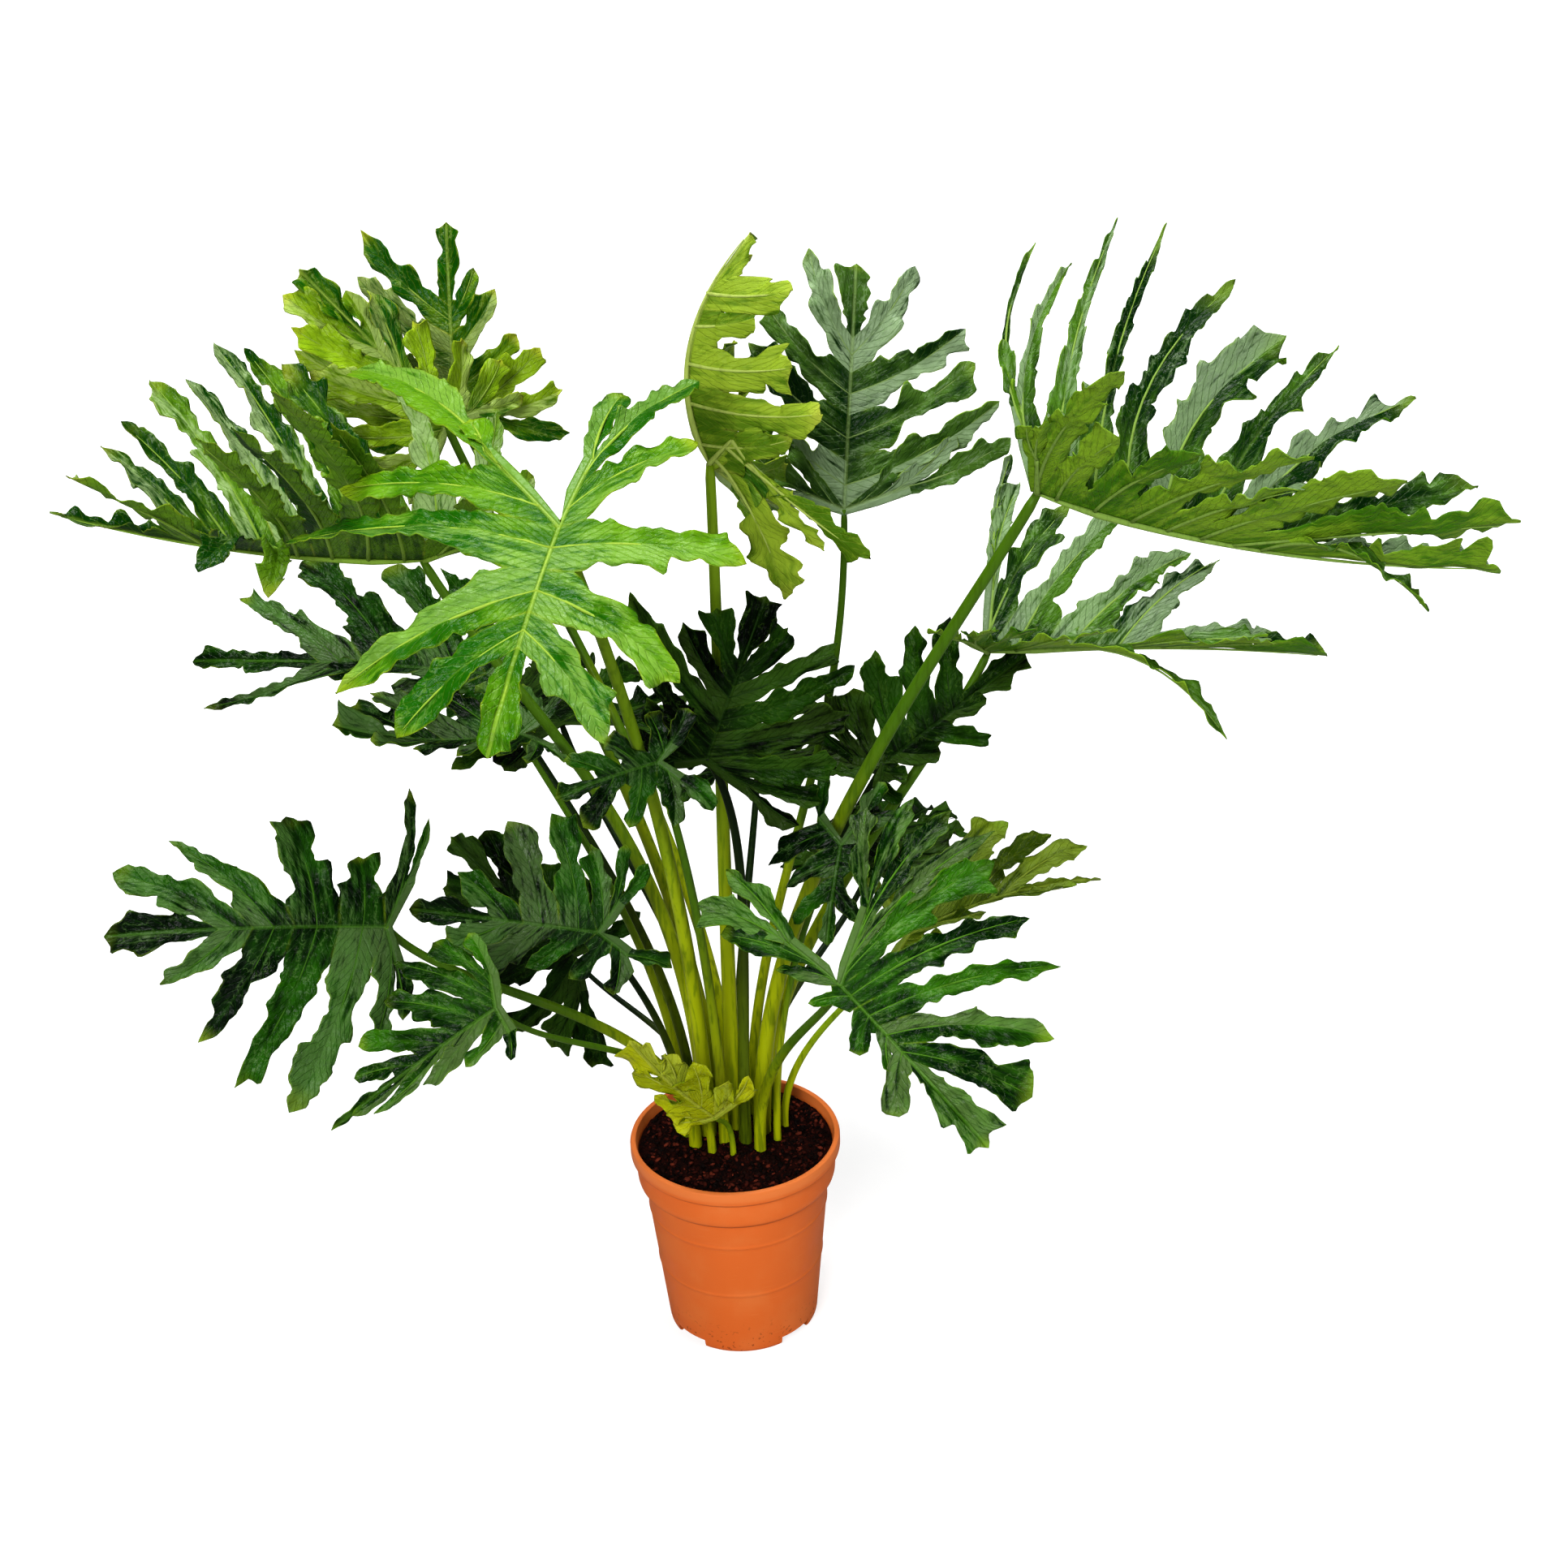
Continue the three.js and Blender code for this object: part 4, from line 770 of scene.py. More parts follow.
def grid_patch(bm, rows, columns, point_at, maps, flip=False):
    """Adds a grid whose vertices are placed by point_at(row, column), which also gives the maps."""
    made = bmesh.ops.create_grid(bm, x_segments=rows, y_segments=columns, size=0.5)
    places = {}
    for vert in made["verts"]:
        row = round((vert.co.x + 0.5) * rows)
        column = round((vert.co.y + 0.5) * columns)
        vert.co, *places[vert] = point_at(row, column)
    faces = {face for vert in made["verts"] for face in vert.link_faces}
    for face in faces:
        for loop in face.loops:
            for uv, value in zip(maps, places[loop.vert]):
                loop[uv].uv = value
    if flip:
        bmesh.ops.reverse_faces(bm, faces=list(faces))


print("columns across a lobe:", 2 * SIDE_COLUMNS)

# %% Margins and ruffles
NEAR_ROW, FAR_ROW = 0.46, 0.84
NEAR_FULLNESS, FAR_FULLNESS = 0.85, 0.95
WAVE_SPACING, WAVE_DEPTH = 24, 0.3
TOOTH_SPACING, TOOTH_DEPTH = 8.5, 0.18
FRILLS = ((13, 0.5, 2), (7, 0.2, 3))
ROLL_SPACING, ROLL_HEIGHT = 38, 0.22
GUTTER = 0.3
TWIST = 0.5
TWIST_SPAN = (0.2, 0.9)
FREE_FROM = 0.4
TIP_LEAST, TIP_SPREAD = 0.62, 0.3
LEAFLET_PLACES = (0.42, 0.6, 0.78)
LEAFLET_SHIFT = 0.12
LEAFLET_LENGTH, LEAFLET_LEAST, LEAFLET_MOST = 9.5, 0.25, 13
LEAFLET_OUT, LEAFLET_AHEAD = 0.8, 0.9
LEAFLETS_END = (0.86, 0.96)
LOBE_LONG, LOBE_BROAD = 60, 0.6
PLAINNESS = {"bright": 0.74, "middle": 0.56, "dark": 0.5}
LACY_PLAINNESS = 0.28


def round_off(x, blunt):
    return (1 - x ** (1 + 1.4 * blunt)) ** (1 - 0.3 * blunt) if x < 1 else 0.0


def slow_noise(x, seed):
    """Smooth noise between about -1 and 1 that changes over one step of x."""
    return 2 * noise.noise(Vector((x, 7.3 * seed, 1.7 * seed)))


class LobeShape:
    """A lobe's margins as free curves near the plain model's points."""

    def __init__(self, half, lobe, start, first, widths):
        self.half, self.lobe, self.start = half, lobe, start
        self.first, self.widths = first, widths
        self.leaf, length, index = half.form.leaf, half.form.length, lobe["index"]
        self.seed = 0.37 * index + 0.11 * half.hand + 0.013 * length
        self.ahead = (lobe["tip"] - lobe["middle"]).normalized()
        self.twist = TWIST * slow_noise(3.1 * index, self.seed)
        self.blunt = draw(7 * index + half.hand + 2 * length)
        self.tone = draw(13 * index + 4 * half.hand + length)
        plainness = LACY_PLAINNESS if self.leaf["lacy"] else PLAINNESS[self.leaf["tone"]]
        self.leaflets = []
        for edge in (-1, 1):
            for middle in LEAFLET_PLACES:
                chance = draw(11 * index + 3 * edge + half.hand + length + middle)
                has_room = lobe["reach"] > LOBE_LONG and lobe["breadth"] > LOBE_BROAD
                if has_room and chance > plainness:
                    middle += LEAFLET_SHIFT * draw(50 * chance)
                    size = LEAFLET_LEAST + (1 - LEAFLET_LEAST) * draw(90 * chance) ** 1.5
                    self.leaflets.append((edge, middle, size))

    def offset(self, t, edge):
        first, near, far = self.first[edge], *self.widths[edge]
        far = far * (TIP_LEAST + TIP_SPREAD * self.blunt)
        if t <= NEAR_ROW:
            offset = first.lerp(near, smooth(t, self.start, NEAR_ROW))
        elif t <= FAR_ROW:
            offset = near.lerp(far, smooth(t, NEAR_ROW, FAR_ROW))
        else:
            offset = far * round_off((t - FAR_ROW) / (1 - FAR_ROW), self.blunt)
        along = t * self.lobe["reach"]
        wave = WAVE_DEPTH * slow_noise(along / WAVE_SPACING, self.seed + edge)
        wave += TOOTH_DEPTH * slow_noise(along / TOOTH_SPACING, self.seed + 5 * edge)
        offset = offset * (1 + wave * self.leaf["calm"] * smooth(t, self.start, self.start + 0.12))
        for side, middle, size in self.leaflets:
            if side == edge:
                distance = (t - middle) * self.lobe["reach"] / LEAFLET_LENGTH
                bump = math.exp(-distance ** 2) * size * min(self.lobe["full"], LEAFLET_MOST)
                bump *= 1 - smooth(t, *LEAFLETS_END)
                outward = offset.normalized() * LEAFLET_OUT + self.ahead * LEAFLET_AHEAD
                offset = offset + outward * bump
        return offset

    def lift(self, t, share, across):
        edge = 1 if share > 0 else -1
        size = abs(share)
        width = self.leaf["width"]
        free = smooth(t, self.start, FREE_FROM)
        along = t * self.lobe["reach"]
        frill = sum(height * slow_noise(along / spacing, self.seed + shift * edge)
                    for spacing, height, shift in FRILLS)
        frill *= width * (0.4 + 0.6 * self.leaf["calm"])
        roll = ROLL_HEIGHT * width * slow_noise(along / ROLL_SPACING, self.seed + 9)
        return (self.lobe["lift"] * t * t * (1 - size * (1 - free))
                + frill * size ** 1.5 * free * (1 - 0.7 * smooth(t, 0.88, 1.0))
                + roll * free
                + math.copysign(self.twist * across, share) * smooth(t, *TWIST_SPAN)
                + GUTTER * across * smooth(t, self.start, self.start + 0.2))


print("side lobes at most:", 2 * len(LEAFLET_PLACES), "on a lobe")

# %% Lobe grids
ROW_SPACING = 3.3
FEWEST_ROWS = 8
WING_WIDTH = 8
WING_END = Vector((-6, 0))
WING_FROM_RIB = 20


def row_shares(shape, cut_rows):
    """How far along the lobe each row of its grid lies."""
    length = shape.lobe["reach"] * (1 - shape.start)
    free_rows = max(FEWEST_ROWS, round(length / ROW_SPACING))
    shares = [shape.start * share for share in ACROSS] if cut_rows else [0.0]
    step = (1 - shape.start) / free_rows
    return shares + [shape.start + step * i for i in range(1, free_rows + 1)]


def add_side_lobe(bm, maps, half, index):
    form, lobe, spine = half.form, half.lobes[index], half.spine
    if index == 0:
        start = 0.0
        first = {-1: heading(half.hind_turn + 90) * WING_WIDTH, 1: half.cuts[0] - spine[0]}
    else:
        start = half.cut
        middle = half.centre(lobe, start)
        first = {-1: half.cuts[index - 1] - middle, 1: half.cuts[index] - middle}
    widths = {edge: [half.margin(lobe, row, edge, fullness)
                     for row, fullness in ((NEAR_ROW, NEAR_FULLNESS), (FAR_ROW, FAR_FULLNESS))]
              for edge in (-1, 1)}
    shape = LobeShape(half, lobe, start, first, widths)
    shares = row_shares(shape, cut_rows=index > 0)

    def point_at(row, column):
        t, share = shares[row], column_share(column)
        edge = 1 if share > 0 else -1
        size = abs(share)
        centre = half.centre(lobe, t)
        if t < start:
            near = index if edge > 0 else index - 1
            plan = centre.lerp(spine[near].lerp(half.cuts[near], t / start), size)
            across = (plan - centre).length
        else:
            offset = shape.offset(t, edge)
            plan = centre + offset * size
            across = offset.length * size
        point = form.place(plan.x, plan.y, half.hand, shape.lift(t, share, across))
        from_rib = (math.copysign(across, share), t * lobe["reach"])
        return point, from_rib, (size, t), (half.from_spine(plan), shape.tone)

    grid_patch(bm, len(shares) - 1, 2 * SIDE_COLUMNS, point_at, maps, flip=half.hand < 0)


def add_wing(bm, maps, half):
    """The narrow strip on the inner side of a hind vein."""
    spine, steps, columns = half.spine, half.hind_steps, 2 * SIDE_COLUMNS
    inward = heading(half.hind_turn + 90) * WING_WIDTH
    inner = [spine[i] + inward for i in range(steps)] + [WING_END]

    def point_at(row, column):
        segment = min(row // columns, steps - 1)
        share = (column_share(row - segment * columns) + 1) / 2
        on_vein = spine[segment].lerp(spine[segment + 1], share)
        plan = on_vein.lerp(inner[segment].lerp(inner[segment + 1], share), ACROSS[column])
        point = half.form.place(plan.x, plan.y, half.hand)
        return (point, (WING_FROM_RIB, WING_WIDTH * ACROSS[column]), (ACROSS[column], 0.2),
                (half.from_spine(plan), 0.5))

    grid_patch(bm, columns * steps, SIDE_COLUMNS, point_at, maps, flip=half.hand < 0)


def add_end_lobe(bm, maps, halves):
    """The lobe at the tip, which both halves share."""
    right, left = halves
    lobe, joint = right.lobes[-1], right.spine[-1]
    mirror = Vector((left.cuts[-1].x, -left.cuts[-1].y))
    first = {-1: right.cuts[-1] - joint, 1: mirror - joint}
    width = lobe["breadth"] * right.form.leaf["width"]
    widths = {edge: [Vector((0, -edge * fullness * width))
                     for fullness in (NEAR_FULLNESS, FAR_FULLNESS)] for edge in (-1, 1)}
    shape = LobeShape(right, lobe, 0.0, first, widths)
    shares = row_shares(shape, cut_rows=False)

    def point_at(row, column):
        t, share = shares[row], column_share(column)
        offset = shape.offset(t, 1 if share > 0 else -1) * abs(share)
        plan = right.centre(lobe, t) + offset
        lift = shape.lift(t, -share, offset.length)
        point = right.form.place(plan.x, abs(plan.y), 1 if plan.y >= 0 else -1, lift)
        from_rib = (math.copysign(offset.length, share), t * lobe["reach"])
        return point, from_rib, (abs(share), t), (abs(plan.y), shape.tone)

    grid_patch(bm, len(shares) - 1, 2 * SIDE_COLUMNS, point_at, maps)


print("rows in a lobe of 100 mm:", round(100 / ROW_SPACING))

# %% [markdown]
# ## Ribs and stalks
# Ribs and stalks are tapering round rods on curves. A rod is a grid that is rolled up: rows run
# along the curve and columns run round it. The seam is merged and both ends are filled, so the
# rod is closed. A side direction is carried from ring to ring, so that the rod never twists.

# %% Rods
FIRST_SIDE = Vector((0.31, 1, 0.12)).normalized()


def add_rod(bm, points, radii, sides, uv):
    rings = len(points) - 1
    side = FIRST_SIDE
    frames = []
    for i in range(rings + 1):
        ahead = (points[min(i + 1, rings)] - points[max(i - 1, 0)]).normalized()
        side = (side - ahead * side.dot(ahead)).normalized()
        frames.append((side, ahead.cross(side)))

    def point_at(ring, column):
        angle = 2 * math.pi * column / sides
        one, two = frames[ring]
        round_it = one * math.cos(angle) + two * math.sin(angle)
        return points[ring] + round_it * radii[ring], (column / sides, ring / rings)

    grid_patch(bm, rings, sides, point_at, [uv])


def close_rods(bm):
    bmesh.ops.remove_doubles(bm, verts=bm.verts, dist=0.002)
    rims = [edge for edge in bm.edges if edge.is_boundary]
    bmesh.ops.holes_fill(bm, edges=rims, sides=0)
    bmesh.ops.recalc_face_normals(bm, faces=bm.faces)


print("rods ready")

# %% Ribs under a blade
MAIN_RIB = 3.4
MAIN_RIB_RINGS, HIND_RIB_RINGS, LOBE_RIB_RINGS = 28, 8, 10
HIND_RIB = 0.7
LOBE_RIB_MOST = 1.9
RIB_SINK = 0.35
LOBE_RIB_SINK = 0.3
RIB_REACH, LOBE_RIB_REACH = 0.97, 0.94


def add_ribs(bm, uv, form, halves):
    """Pale ribs that stand out under the blade."""
    stem, width = form.leaf["stem"], form.leaf["width"]
    main = MAIN_RIB * stem

    def add_rib(rings, sides, at_share):
        """Lays a rod through the points that at_share(share) gives with their radius."""
        laid = [at_share(i / rings) for i in range(rings + 1)]
        points = [form.place(plan.x, plan.y, hand, lift) for plan, hand, lift, radius in laid]
        add_rod(bm, points, [radius for *rest, radius in laid], sides, uv)

    def on_midrib(share):
        radius = main * (1 - 0.9 * share ** 0.8) * min(1.0, 0.3 + 5 * share)
        return Vector((share * RIB_REACH * form.length, 0)), 1, -0.8 * radius - RIB_SINK, radius

    add_rib(MAIN_RIB_RINGS, 8, on_midrib)
    for half in halves:
        def on_hind_vein(share):
            radius = main * HIND_RIB * (1 - 0.45 * share)
            plan = half.spine[half.hind_steps].lerp(half.spine[0], share)
            return plan, half.hand, -0.8 * radius - RIB_SINK, radius

        add_rib(HIND_RIB_RINGS, 6, on_hind_vein)
        for lobe in half.lobes[:-1]:
            size = min(LOBE_RIB_MOST, 0.35 + 0.09 * width + 0.004 * lobe["reach"])
            size *= 0.6 + 0.4 * stem

            def on_lobe(share):
                t = LOBE_RIB_REACH * share
                radius = size * (1 - 0.85 * t)
                lift = lobe["lift"] * t * t - 0.6 * radius - LOBE_RIB_SINK
                return half.centre(lobe, t), half.hand, lift, radius

            add_rib(LOBE_RIB_RINGS, 5, on_lobe)
    close_rods(bm)


print("rib radius at the first leaf's junction:", round(MAIN_RIB * LEAVES[0]["stem"], 1), "mm")

# %% [markdown]
# ## The pattern of a leaf
# The upper face has a pale midrib and fine side veins that sink in a little and quilt the blade
# between them. Its green isn't even: streaks and clouds run along each lobe and every lobe has
# its own tone. A grey sheen is painted on in streaks and on whole half-lobes, with glints along
# fine creases, as painted reflections of the light on the glossy wax. The blade is painted
# darker near the midrib, as shade in its fold. Tips and rims are a little yellower. All this
# could be painted, but a pattern from the three maps fits each of the 24 blades by itself. One
# group makes it, for both faces and for leaves of every age.

# %% Leaf pattern
VEIN_SPACING = 10.5
VEIN_SLANT = 1.7
LOBE_RIB_SHARE = 0.38

blade = Pattern("leaf_blade", ["Deep", "Light", "Rib", "Tip", "Sheen grey"], ["Vein strength", "Painted sheen"])
from_rib, along = blade.from_map("rib_millimetres")
to_margin, to_tip = blade.from_map("rib_to_margin")
from_midrib, tone = blade.from_map("from_midrib")

across = abs(from_rib)
slant = along + blade.noise(90.0) * 9.0 - across * VEIN_SLANT
vein = abs((slant / VEIN_SPACING).fraction() - 0.5).ramp(0.36, 0.5)
lobe_rib = across.ramp(1.5, 0.4) * to_tip.ramp(0.95, 0.3)
rib = from_midrib.ramp(2.6, 0.9).larger(lobe_rib * LOBE_RIB_SHARE)

clouds = blade.noise(13.0, 4.0)
patches = blade.noise(48.0, 3.0)
creases = blade.noise(95.0, 3.0)
lengthways = add_node(blade.tree, "CombineXYZ", {0: from_rib, 1: along * 0.13, 2: tone * 90.0})[0]
streaks = blade.noise(0.15, 3.0, lengthways)
fine_streaks = blade.noise(0.42, 3.0, lengthways)

mottled = clouds * 0.35 + patches * 0.15 + streaks * 0.37 + fine_streaks * 0.13
mottled = mottled + tone.ramp(0.0, 1.0, -0.09, 0.09) * to_tip.ramp(0.1, 0.45)
# Darker near the midrib and hind veins: painted shade in the fold of the blade.
shade = mottled.ramp(0.4, 0.62) * from_midrib.ramp(3.0, 26.0, 0.5, 1.0)

# The grey sheen is painted: a draw puts it on whole half-lobes, as if each half of a lobe's V
# caught the light differently, and on streaks.
half_side = from_rib.math("GREATER_THAN")
lobe_draw = (tone * 7.3 + half_side * 0.17).fraction()
painted_sheen = lobe_draw.ramp(0.3, 0.9, -0.12, 0.14) + streaks * 0.5 + fine_streaks * 0.45
painted_sheen = (painted_sheen + blade.noise(150.0, 6.0) * 0.2).ramp(0.52, 0.7) * blade.value("Painted sheen")
# Painted glints: thin highlights along fine creases.
painted_glint = abs(creases - 0.5).ramp(0.04, 0.0) * streaks.ramp(0.42, 0.6)
painted_sheen = painted_sheen.larger(painted_glint * 0.3)

pale_tip = to_tip.ramp(0.84, 1.0) * clouds.ramp(0.4, 0.62) * 0.8
pale_rim = to_margin.ramp(0.88, 1.0) * patches.ramp(0.4, 0.7, 0.0, 0.5)
vein_strength = blade.value("Vein strength")
rib_share = rib.math("MULTIPLY", vein_strength * 2.0, clamp=True)

tint = shade.mix(blade.value("Deep"), blade.value("Light"))
# The painted grey sheen is laid over the green.
tint = painted_sheen.mix(tint, blade.value("Sheen grey"))
tint = (vein * vein_strength).mix(tint, blade.value("Light"))
tint = rib_share.mix(tint, blade.value("Rib"))
tint = pale_tip.larger(pale_rim).mix(tint, blade.value("Tip"))

furrow = (vein * 0.3).larger(rib * 0.6)
relief = blade.noise(140.0) * 0.7 - furrow + patches * 2.0 + creases * 0.9 + fine_streaks * 0.7
blade.finish(tint, relief, clouds)

# %% [markdown]
# ## Leaf looks
# Leaves differ by age and by the light they get: the newest are yellow-green, the next lime and
# older ones deep green. Every look has a painted grey sheen, a reflection of the light, and it
# makes the leaves on the right silvery. The leaves at the upper left are painted brighter, as
# lit, and those in the shade of the others are painted nearly black, as shade. The underside is
# paler and duller, and on the lime, fresh and silver looks it is painted lighter still, for
# light that shines through the leaf. Each look is one row of colours, as a screen shows them.
# A material for each leaf would do too, but then two leaves of one age could drift apart, so
# leaves share a few looks.

# %% Leaf looks
COLUMNS = ("upper deep", "upper light", "under deep", "under light", "rib", "tip", "sheen_grey",
           "painted_sheen", "veins", "gloss")
LEAF_LOOKS = {
    "young": ((146, 156, 6), (190, 194, 20), (116, 138, 8), (166, 176, 36), (170, 178, 70),
              (172, 172, 46), (160, 174, 66), 0.6, 0.3, 0.12),
    "olive": ((54, 76, 6), (122, 144, 30), (56, 80, 8), (116, 136, 30), (134, 152, 54),
              (124, 158, 40), (132, 154, 62), 0.6, 0.3, 0.12),
    "pale": ((40, 92, 6), (120, 158, 44), (76, 114, 8), (150, 176, 50), (168, 186, 94),
             (174, 184, 70), (178, 198, 136), 0.8, 0.3, 0.12),
    "lime": ((30, 92, 3), (100, 148, 18), (88, 134, 18), (134, 168, 44), (148, 178, 64),
             (146, 168, 32), (134, 172, 82), 0.5, 0.22, 0.12),
    # Painted light: the upper-left leaves are painted brighter, as lit.
    "sunny": ((24, 84, 3), (138, 172, 26), (66, 108, 6), (140, 166, 30), (140, 166, 70),
              (170, 178, 50), (170, 190, 112), 0.6, 0.24, 0.12),
    "fresh": ((14, 62, 3), (98, 140, 26), (20, 58, 4), (98, 138, 28), (126, 158, 60),
              (146, 158, 44), (150, 174, 120), 0.7, 0.24, 0.12),
    "misty": ((5, 46, 2), (84, 122, 44), (64, 112, 10), (146, 180, 58), (132, 158, 92),
              (124, 156, 50), (150, 174, 134), 0.75, 0.22, 0.12),
    "silver": ((4, 42, 1), (78, 120, 30), (66, 116, 8), (132, 168, 42), (132, 162, 76),
               (122, 154, 50), (144, 168, 128), 0.62, 0.22, 0.12),
    "green": ((2, 32, 1), (54, 110, 8), (40, 84, 8), (92, 134, 26), (84, 130, 36),
              (124, 156, 40), (122, 152, 86), 0.4, 0.2, 0.12),
    "deep": ((1, 18, 1), (36, 86, 7), (20, 56, 6), (66, 106, 20), (62, 104, 26),
             (118, 142, 30), (110, 142, 82), 0.38, 0.2, 0.12),
    # Painted shade: leaves inside and at the back of the plant are painted nearly black.
    "shade": ((0, 8, 0), (34, 70, 7), (8, 28, 3), (44, 72, 10), (34, 62, 14),
              (76, 104, 22), (84, 116, 44), 0.3, 0.2, 0.06),
}
blade_finishes = {}
for look, row in LEAF_LOOKS.items():
    shades = {key: colour(*value) if isinstance(value, tuple) else value
              for key, value in zip(COLUMNS, row)}
    blade_finishes[look] = [
        new_material(f"leaf_{face}_{look}", blade,
                     {"Deep": shades[face + " deep"], "Light": shades[face + " light"],
                      "Rib": shades["rib"], "Tip": shades["tip"], "Sheen grey": shades[sheen_grey],
                      "Vein strength": shades["veins"], "Painted sheen": shades["painted_sheen"]},
                     roughness, bump=0.9, depth=0.0018, specular=shades["gloss"])
        for face, sheen_grey, roughness in (("upper", "sheen_grey", 0.28), ("under", "under light", 0.5))]
print("leaf looks:", len(blade_finishes))

# %% [markdown]
# ## Stalk skin
# A stalk is yellow-green at its foot and greener towards the blade, with long faint grooves and
# streaks. The streaks are noise stretched along the height, and the change of colour follows the
# stalk's own map, which runs from 0 at the root to 1 at the blade. The pale ribs under the
# blades have the same skin in one colour.

# %% Stalk finishes
STALK_TONES = {
    "bright": ((184, 194, 16), (120, 150, 24), (92, 122, 10)),
    "middle": ((172, 182, 14), (74, 110, 16), (64, 94, 8)),
    # Painted shade: stalks of the leaves in the shade of the others are painted nearly black
    # towards the blade.
    "dark": ((104, 122, 16), (20, 38, 12), (36, 56, 12)),
}

skin = Pattern("stalk_skin", ["Foot", "Top", "Streak"])
up_stalk = skin.from_map("rib_millimetres")[1]
streaks = skin.noise(260.0, 3.0, skin.stretched((1.0, 1.0, 0.08)))
clouds = skin.noise(14.0, 3.0)
tint = (up_stalk + clouds * 0.3).ramp(0.3, 0.85).mix(skin.value("Foot"), skin.value("Top"))
tint = (streaks.ramp(0.48, 0.66) * 0.55).mix(tint, skin.value("Streak"))
skin.finish(tint, streaks, clouds)

stalk_finishes = {}
for tone, (foot, top, streak) in STALK_TONES.items():
    values = {"Foot": colour(*foot), "Top": colour(*top), "Streak": colour(*streak)}
    stalk_finishes[tone] = new_material("stalk_" + tone, skin, values,
                                        roughness=0.4, bump=0.4, depth=0.0008, specular=0.14)
for look, row in LEAF_LOOKS.items():
    pale = colour(*row[COLUMNS.index("rib")])
    blade_finishes[look].append(new_material(
        "rib_" + look, skin, {"Foot": pale, "Top": pale, "Streak": times(pale, 0.7)},
        roughness=0.45, bump=0.2, depth=0.0004, specular=0.1))
print("stalk finishes:", len(stalk_finishes))

# %% [markdown]
# ## Blades
# A blade's grids are merged into one sheet. A Solidify modifier gives it its small thickness,
# with a second material for the underside, and is applied at once, so that the ribs can be
# added to the same mesh.

# %% Make the blades
BLADE_THICKNESS = 0.9
RIB_MATERIAL = 2
MAP_NAMES = ("rib_millimetres", "rib_to_margin", "from_midrib")


def thicken(bm, materials):
    sheet = new_object("sheet", bm, materials)
    solid = sheet.modifiers.new("thickness", "SOLIDIFY")
    solid.thickness = BLADE_THICKNESS
    solid.offset = -1
    solid.material_offset = 1
    solid.material_offset_rim = 1
    return after_modifiers(sheet)


def make_blade(leaf):
    form = LeafForm(leaf)
    halves = [HalfBlade(form, 1), HalfBlade(form, -1)]
    bm = bmesh.new()
    maps = [bm.loops.layers.uv.new(name) for name in MAP_NAMES]
    for half in halves:
        for index in range(len(half.lobes) - 1):
            add_side_lobe(bm, maps, half, index)
        add_wing(bm, maps, half)
    add_end_lobe(bm, maps, halves)
    bmesh.ops.remove_doubles(bm, verts=bm.verts, dist=0.05)
    finishes = blade_finishes[leaf["look"]]
    whole = thicken(bm, finishes)
    ribs = bmesh.new()
    add_ribs(ribs, ribs.loops.layers.uv.new(MAP_NAMES[0]), form, halves)
    for face in ribs.faces:
        face.material_index = RIB_MATERIAL
    rib_mesh = bpy.data.meshes.new("ribs")
    ribs.to_mesh(rib_mesh)
    ribs.free()
    whole.from_mesh(rib_mesh)
    bpy.data.meshes.remove(rib_mesh)
    return finish_piece(leaf["name"] + "_leaf", whole, finishes, [leaf["name"] + "_blade"])


blades = [make_blade(leaf) for leaf in LEAVES]
print("blade faces:", sum(len(piece.data.polygons) for piece in blades))

# %% [markdown]
# ## Stalks
# A stalk rises straight out of the soil, where its sheath is thickest, and then follows one
# smooth curve to the underside of its blade. Points taken at even steps along that curve keep
# the rings square to it and the taper even.

# %% Make the stalks
CROWN_BACK = 22
SOIL_EDGE_HEIGHT = 205
ROOT_DEPTH, ROOT_RISE = 43, 6
ROOT_ROOM = 0.35
STALK_STEPS, STALK_SIDES = 60, 16
FOOT_RADIUS_FULL, STALK_TAPER = 7.4, 3.4
SHEATH_SWELL, SHEATH_SHARE = 0.1, 0.25
SLIMMER, END_SLIMMER = 0.97, 0.75


def bezier(points, t):
    s = 1 - t
    weights = (s ** 3, 3 * s * s * t, 3 * s * t * t, t ** 3)
    return sum((point * weight for point, weight in zip(points, weights)), Vector())


def stalk_line(leaf):
    """Points from the root in the soil to just under the blade."""
    form = LeafForm(leaf)
    root = Vector((leaf["root"][0], leaf["root"][1] + CROWN_BACK,
                   SOIL_EDGE_HEIGHT - ROOT_DEPTH + ROOT_ROOM))
    up = Vector((0, 0, 1))
    outward = form.junction - root
    span = outward.length
    outward.z = 0
    outward.normalize()
    arrive = up + outward * leaf["arching"] + form.face * (leaf["arching"] / 3)
    end = form.junction - form.face * (0.9 + 0.5 * leaf["stem"])
    foot = root + up * (ROOT_DEPTH + ROOT_RISE)
    low = foot + up * (leaf["rise"] * span)
    high = end - arrive.normalized() * (leaf["reach"] * span)
    curve = [bezier((foot, low, high, end), i / STALK_STEPS) for i in range(STALK_STEPS + 1)]
    return [root, *curve]


def even_steps(line, count):
    lengths = [0.0]
    for one, two in zip(line, line[1:]):
        lengths.append(lengths[-1] + (two - one).length)
    points, k = [], 0
    for i in range(count + 1):
        target = lengths[-1] * i / count
        while k < len(line) - 2 and lengths[k + 1] < target:
            k += 1
        share = (target - lengths[k]) / (lengths[k + 1] - lengths[k])
        points.append(line[k].lerp(line[k + 1], min(share, 1)))
    return points


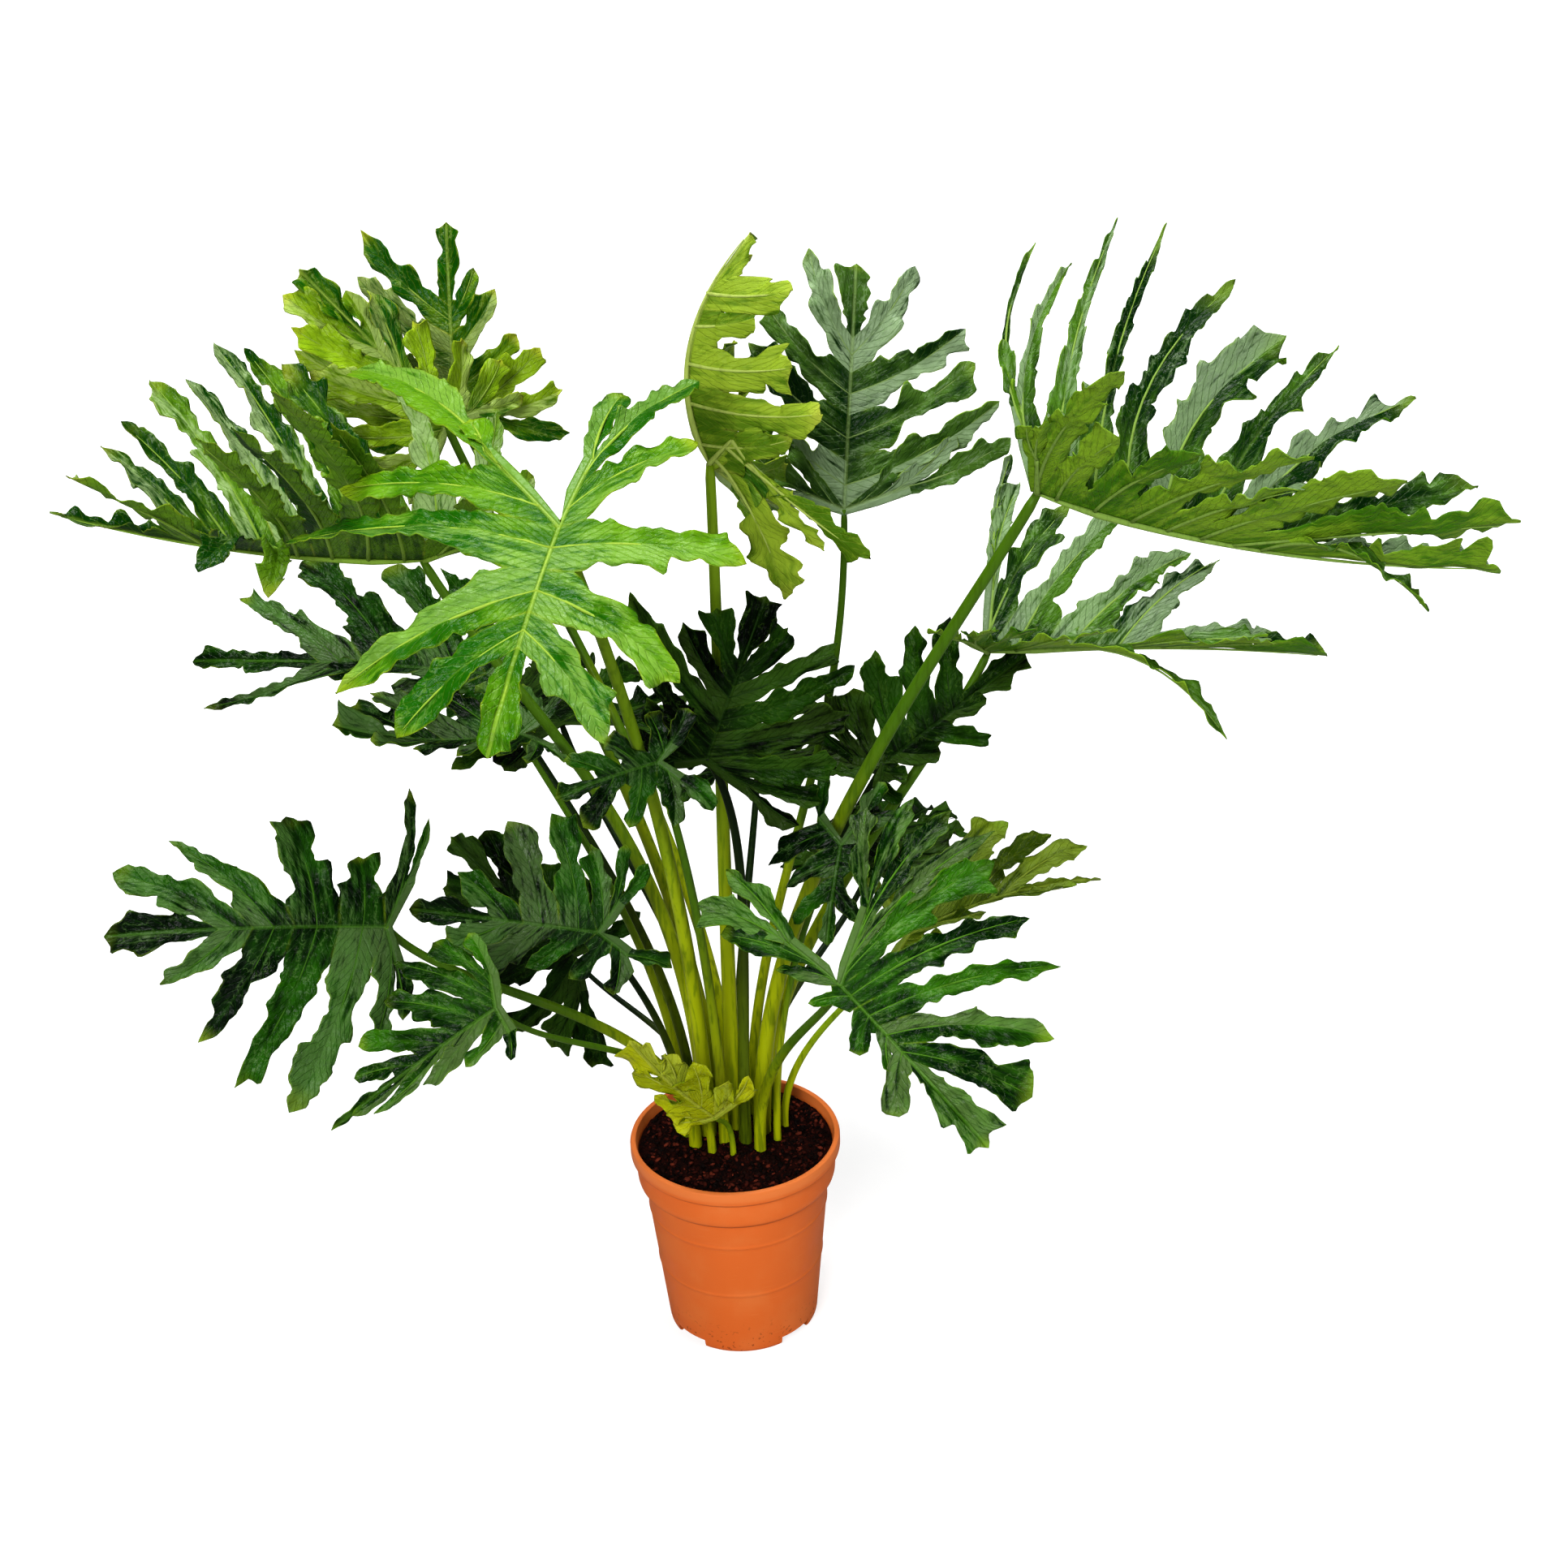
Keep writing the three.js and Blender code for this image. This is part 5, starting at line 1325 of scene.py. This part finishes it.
def make_stalk(leaf):
    radii = []
    for i in range(STALK_STEPS + 1):
        t = i / STALK_STEPS
        swell = 1 + SHEATH_SWELL * max(0, 1 - t / SHEATH_SHARE)
        radii.append(leaf["stem"] * (FOOT_RADIUS_FULL - STALK_TAPER * t) * swell * SLIMMER)
    radii[-1] *= END_SLIMMER
    bm = bmesh.new()
    uv = bm.loops.layers.uv.new(MAP_NAMES[0])
    add_rod(bm, even_steps(stalk_line(leaf), STALK_STEPS), radii, STALK_SIDES, uv)
    close_rods(bm)
    return finish_piece(leaf["name"] + "_stalk", bm, [stalk_finishes[leaf["tone"]]],
                        [leaf["name"] + "_petiole"])


stalks = [make_stalk(leaf) for leaf in LEAVES]
print("stalks:", len(stalks))

# %% [markdown]
# ## Soil
# The soil fills the pot and mounds up to the stalks. It is a spun section whose upper face
# has close rings, pushed up and down by the same slow waves as the plain model and by fine
# noise.

# %% Soil shape
SOIL_RADIUS = 96.4
SOIL_ROOM = 2.8
SOIL_RINGS, SOIL_STEPS = 44, 112
MOUND, LUMPS, GRAIN = 5, 2, 1.8


def soil_height(x, y):
    share = min(math.hypot(x, y) / SOIL_RADIUS, 1.0)
    lump = math.sin(0.21 * x + 1) * math.cos(0.17 * y) + 0.6 * math.sin(0.11 * x - 0.19 * y)
    fine = noise.fractal(Vector((x, y, 0)) * 0.14, 0.6, 2.0, 4)
    return (SOIL_EDGE_HEIGHT + MOUND * (1 - share ** 2) + LUMPS * lump * (1 - share ** 4)
            + GRAIN * fine)


soil_section = [(0, SOIL_ROOM), (36, SOIL_ROOM), (40, 15.8), (body_radius(16) - SOIL_ROOM, 15.8),
                *on_wall(165, proud=-SOIL_ROOM), (SOIL_RADIUS, RIM_FOOT),
                (SOIL_RADIUS, SOIL_EDGE_HEIGHT - 1)]
soil_section += [(SOIL_RADIUS * (i / SOIL_RINGS) * 0.998, SOIL_EDGE_HEIGHT + 0.01)
                 for i in range(SOIL_RINGS, -1, -1)]
soil_bm = spin_section(soil_section, SOIL_STEPS)
for vert in soil_bm.verts:
    if vert.co.z > SOIL_EDGE_HEIGHT - 0.5:
        vert.co.z = soil_height(vert.co.x, vert.co.y)
print("soil faces:", len(soil_bm.faces))

# %% [markdown]
# ## Soil and bark finish
# The soil is dark and damp. Its colour changes from grain to grain, from nearly black peat to
# red-brown bark, so two noises at different scales mix three browns. The bark chips have the
# same pattern, each tone with its own browns.

# %% Soil and bark finishes
SOIL_BROWNS = {"Dark": colour(18, 6, 5), "Brown": colour(46, 16, 10), "Red": colour(98, 34, 20)}
BARK_TONES = [colour(36, 13, 9), colour(72, 27, 18), colour(112, 50, 34), colour(20, 8, 7)]

peat = Pattern("peat", ["Dark", "Brown", "Red"])
grains = peat.noise(420.0, 4.0)
patches = peat.noise(120.0, 3.0)
browns = patches.ramp(0.4, 0.7).mix(peat.value("Dark"), peat.value("Brown"))
browns = (grains.ramp(0.58, 0.72) * 0.6).mix(browns, peat.value("Red"))
peat.finish(browns, grains + patches, patches)

soil_finish = new_material("soil_finish", peat, SOIL_BROWNS,
                           roughness=0.85, bump=1.0, depth=0.002, specular=0.08)
finish_piece("soil_fill", soil_bm, [soil_finish], ["soil"])
bark_finishes = [
    new_material(f"bark_{i + 1}", peat,
                 {"Dark": times(tone, 0.6), "Brown": tone, "Red": times(tone, 1.3)},
                 roughness=0.75, bump=0.6, depth=0.001, specular=0.1)
    for i, tone in enumerate(BARK_TONES)]
print("bark finishes:", len(bark_finishes))

# %% [markdown]
# ## Bark chips
# Chips of composted bark lie on the soil. Scattering them by instances on points would be less
# work, but each chip would then have the same outline. A loop draws a place, a size and a turn
# for each, and leaves out those that would lie in a stalk. There are hundreds of them, so each is
# only a flattened ball of twenty faces.

# %% Bark chips
CHIPS = 1100
CHIP_RING = 93
CHIP_SIZES = (1.2, 4.2)
CHIP_TURNS = (("Z", 0, 6.28), ("X", -0.6, 0.6), ("Y", -0.6, 0.6))
STALK_CLEAR = 9.5
CHIP_TONES = (0, 0, 1, 1, 2, 3, 3)

chip_draws = random.Random(7)
stalk_feet = [(leaf["root"][0], leaf["root"][1] + CROWN_BACK, STALK_CLEAR * leaf["stem"])
              for leaf in LEAVES]
chips_bm = bmesh.new()
placed = 0
while placed < CHIPS:
    angle = chip_draws.uniform(0, 2 * math.pi)
    distance = CHIP_RING * math.sqrt(chip_draws.random())
    x, y = distance * math.cos(angle), distance * math.sin(angle)
    size = chip_draws.uniform(*CHIP_SIZES)
    if any(math.hypot(x - a, y - b) < radius + 0.5 * size for a, b, radius in stalk_feet):
        continue
    matrix = Matrix.Translation((x, y, soil_height(x, y) + 0.25 * size))
    for axis, least, most in CHIP_TURNS:
        matrix = matrix @ Matrix.Rotation(chip_draws.uniform(least, most), 4, axis)
    flat = (size, size * chip_draws.uniform(0.45, 0.8), size * chip_draws.uniform(0.25, 0.5), 1)
    made = bmesh.ops.create_icosphere(chips_bm, subdivisions=1, radius=1,
                                      matrix=matrix @ Matrix.Diagonal(flat))
    tone = chip_draws.choice(CHIP_TONES)
    for face in {face for vert in made["verts"] for face in vert.link_faces}:
        face.material_index = tone
    placed += 1
finish_piece("bark_chips", chips_bm, bark_finishes, [])
print("bark chips:", placed)
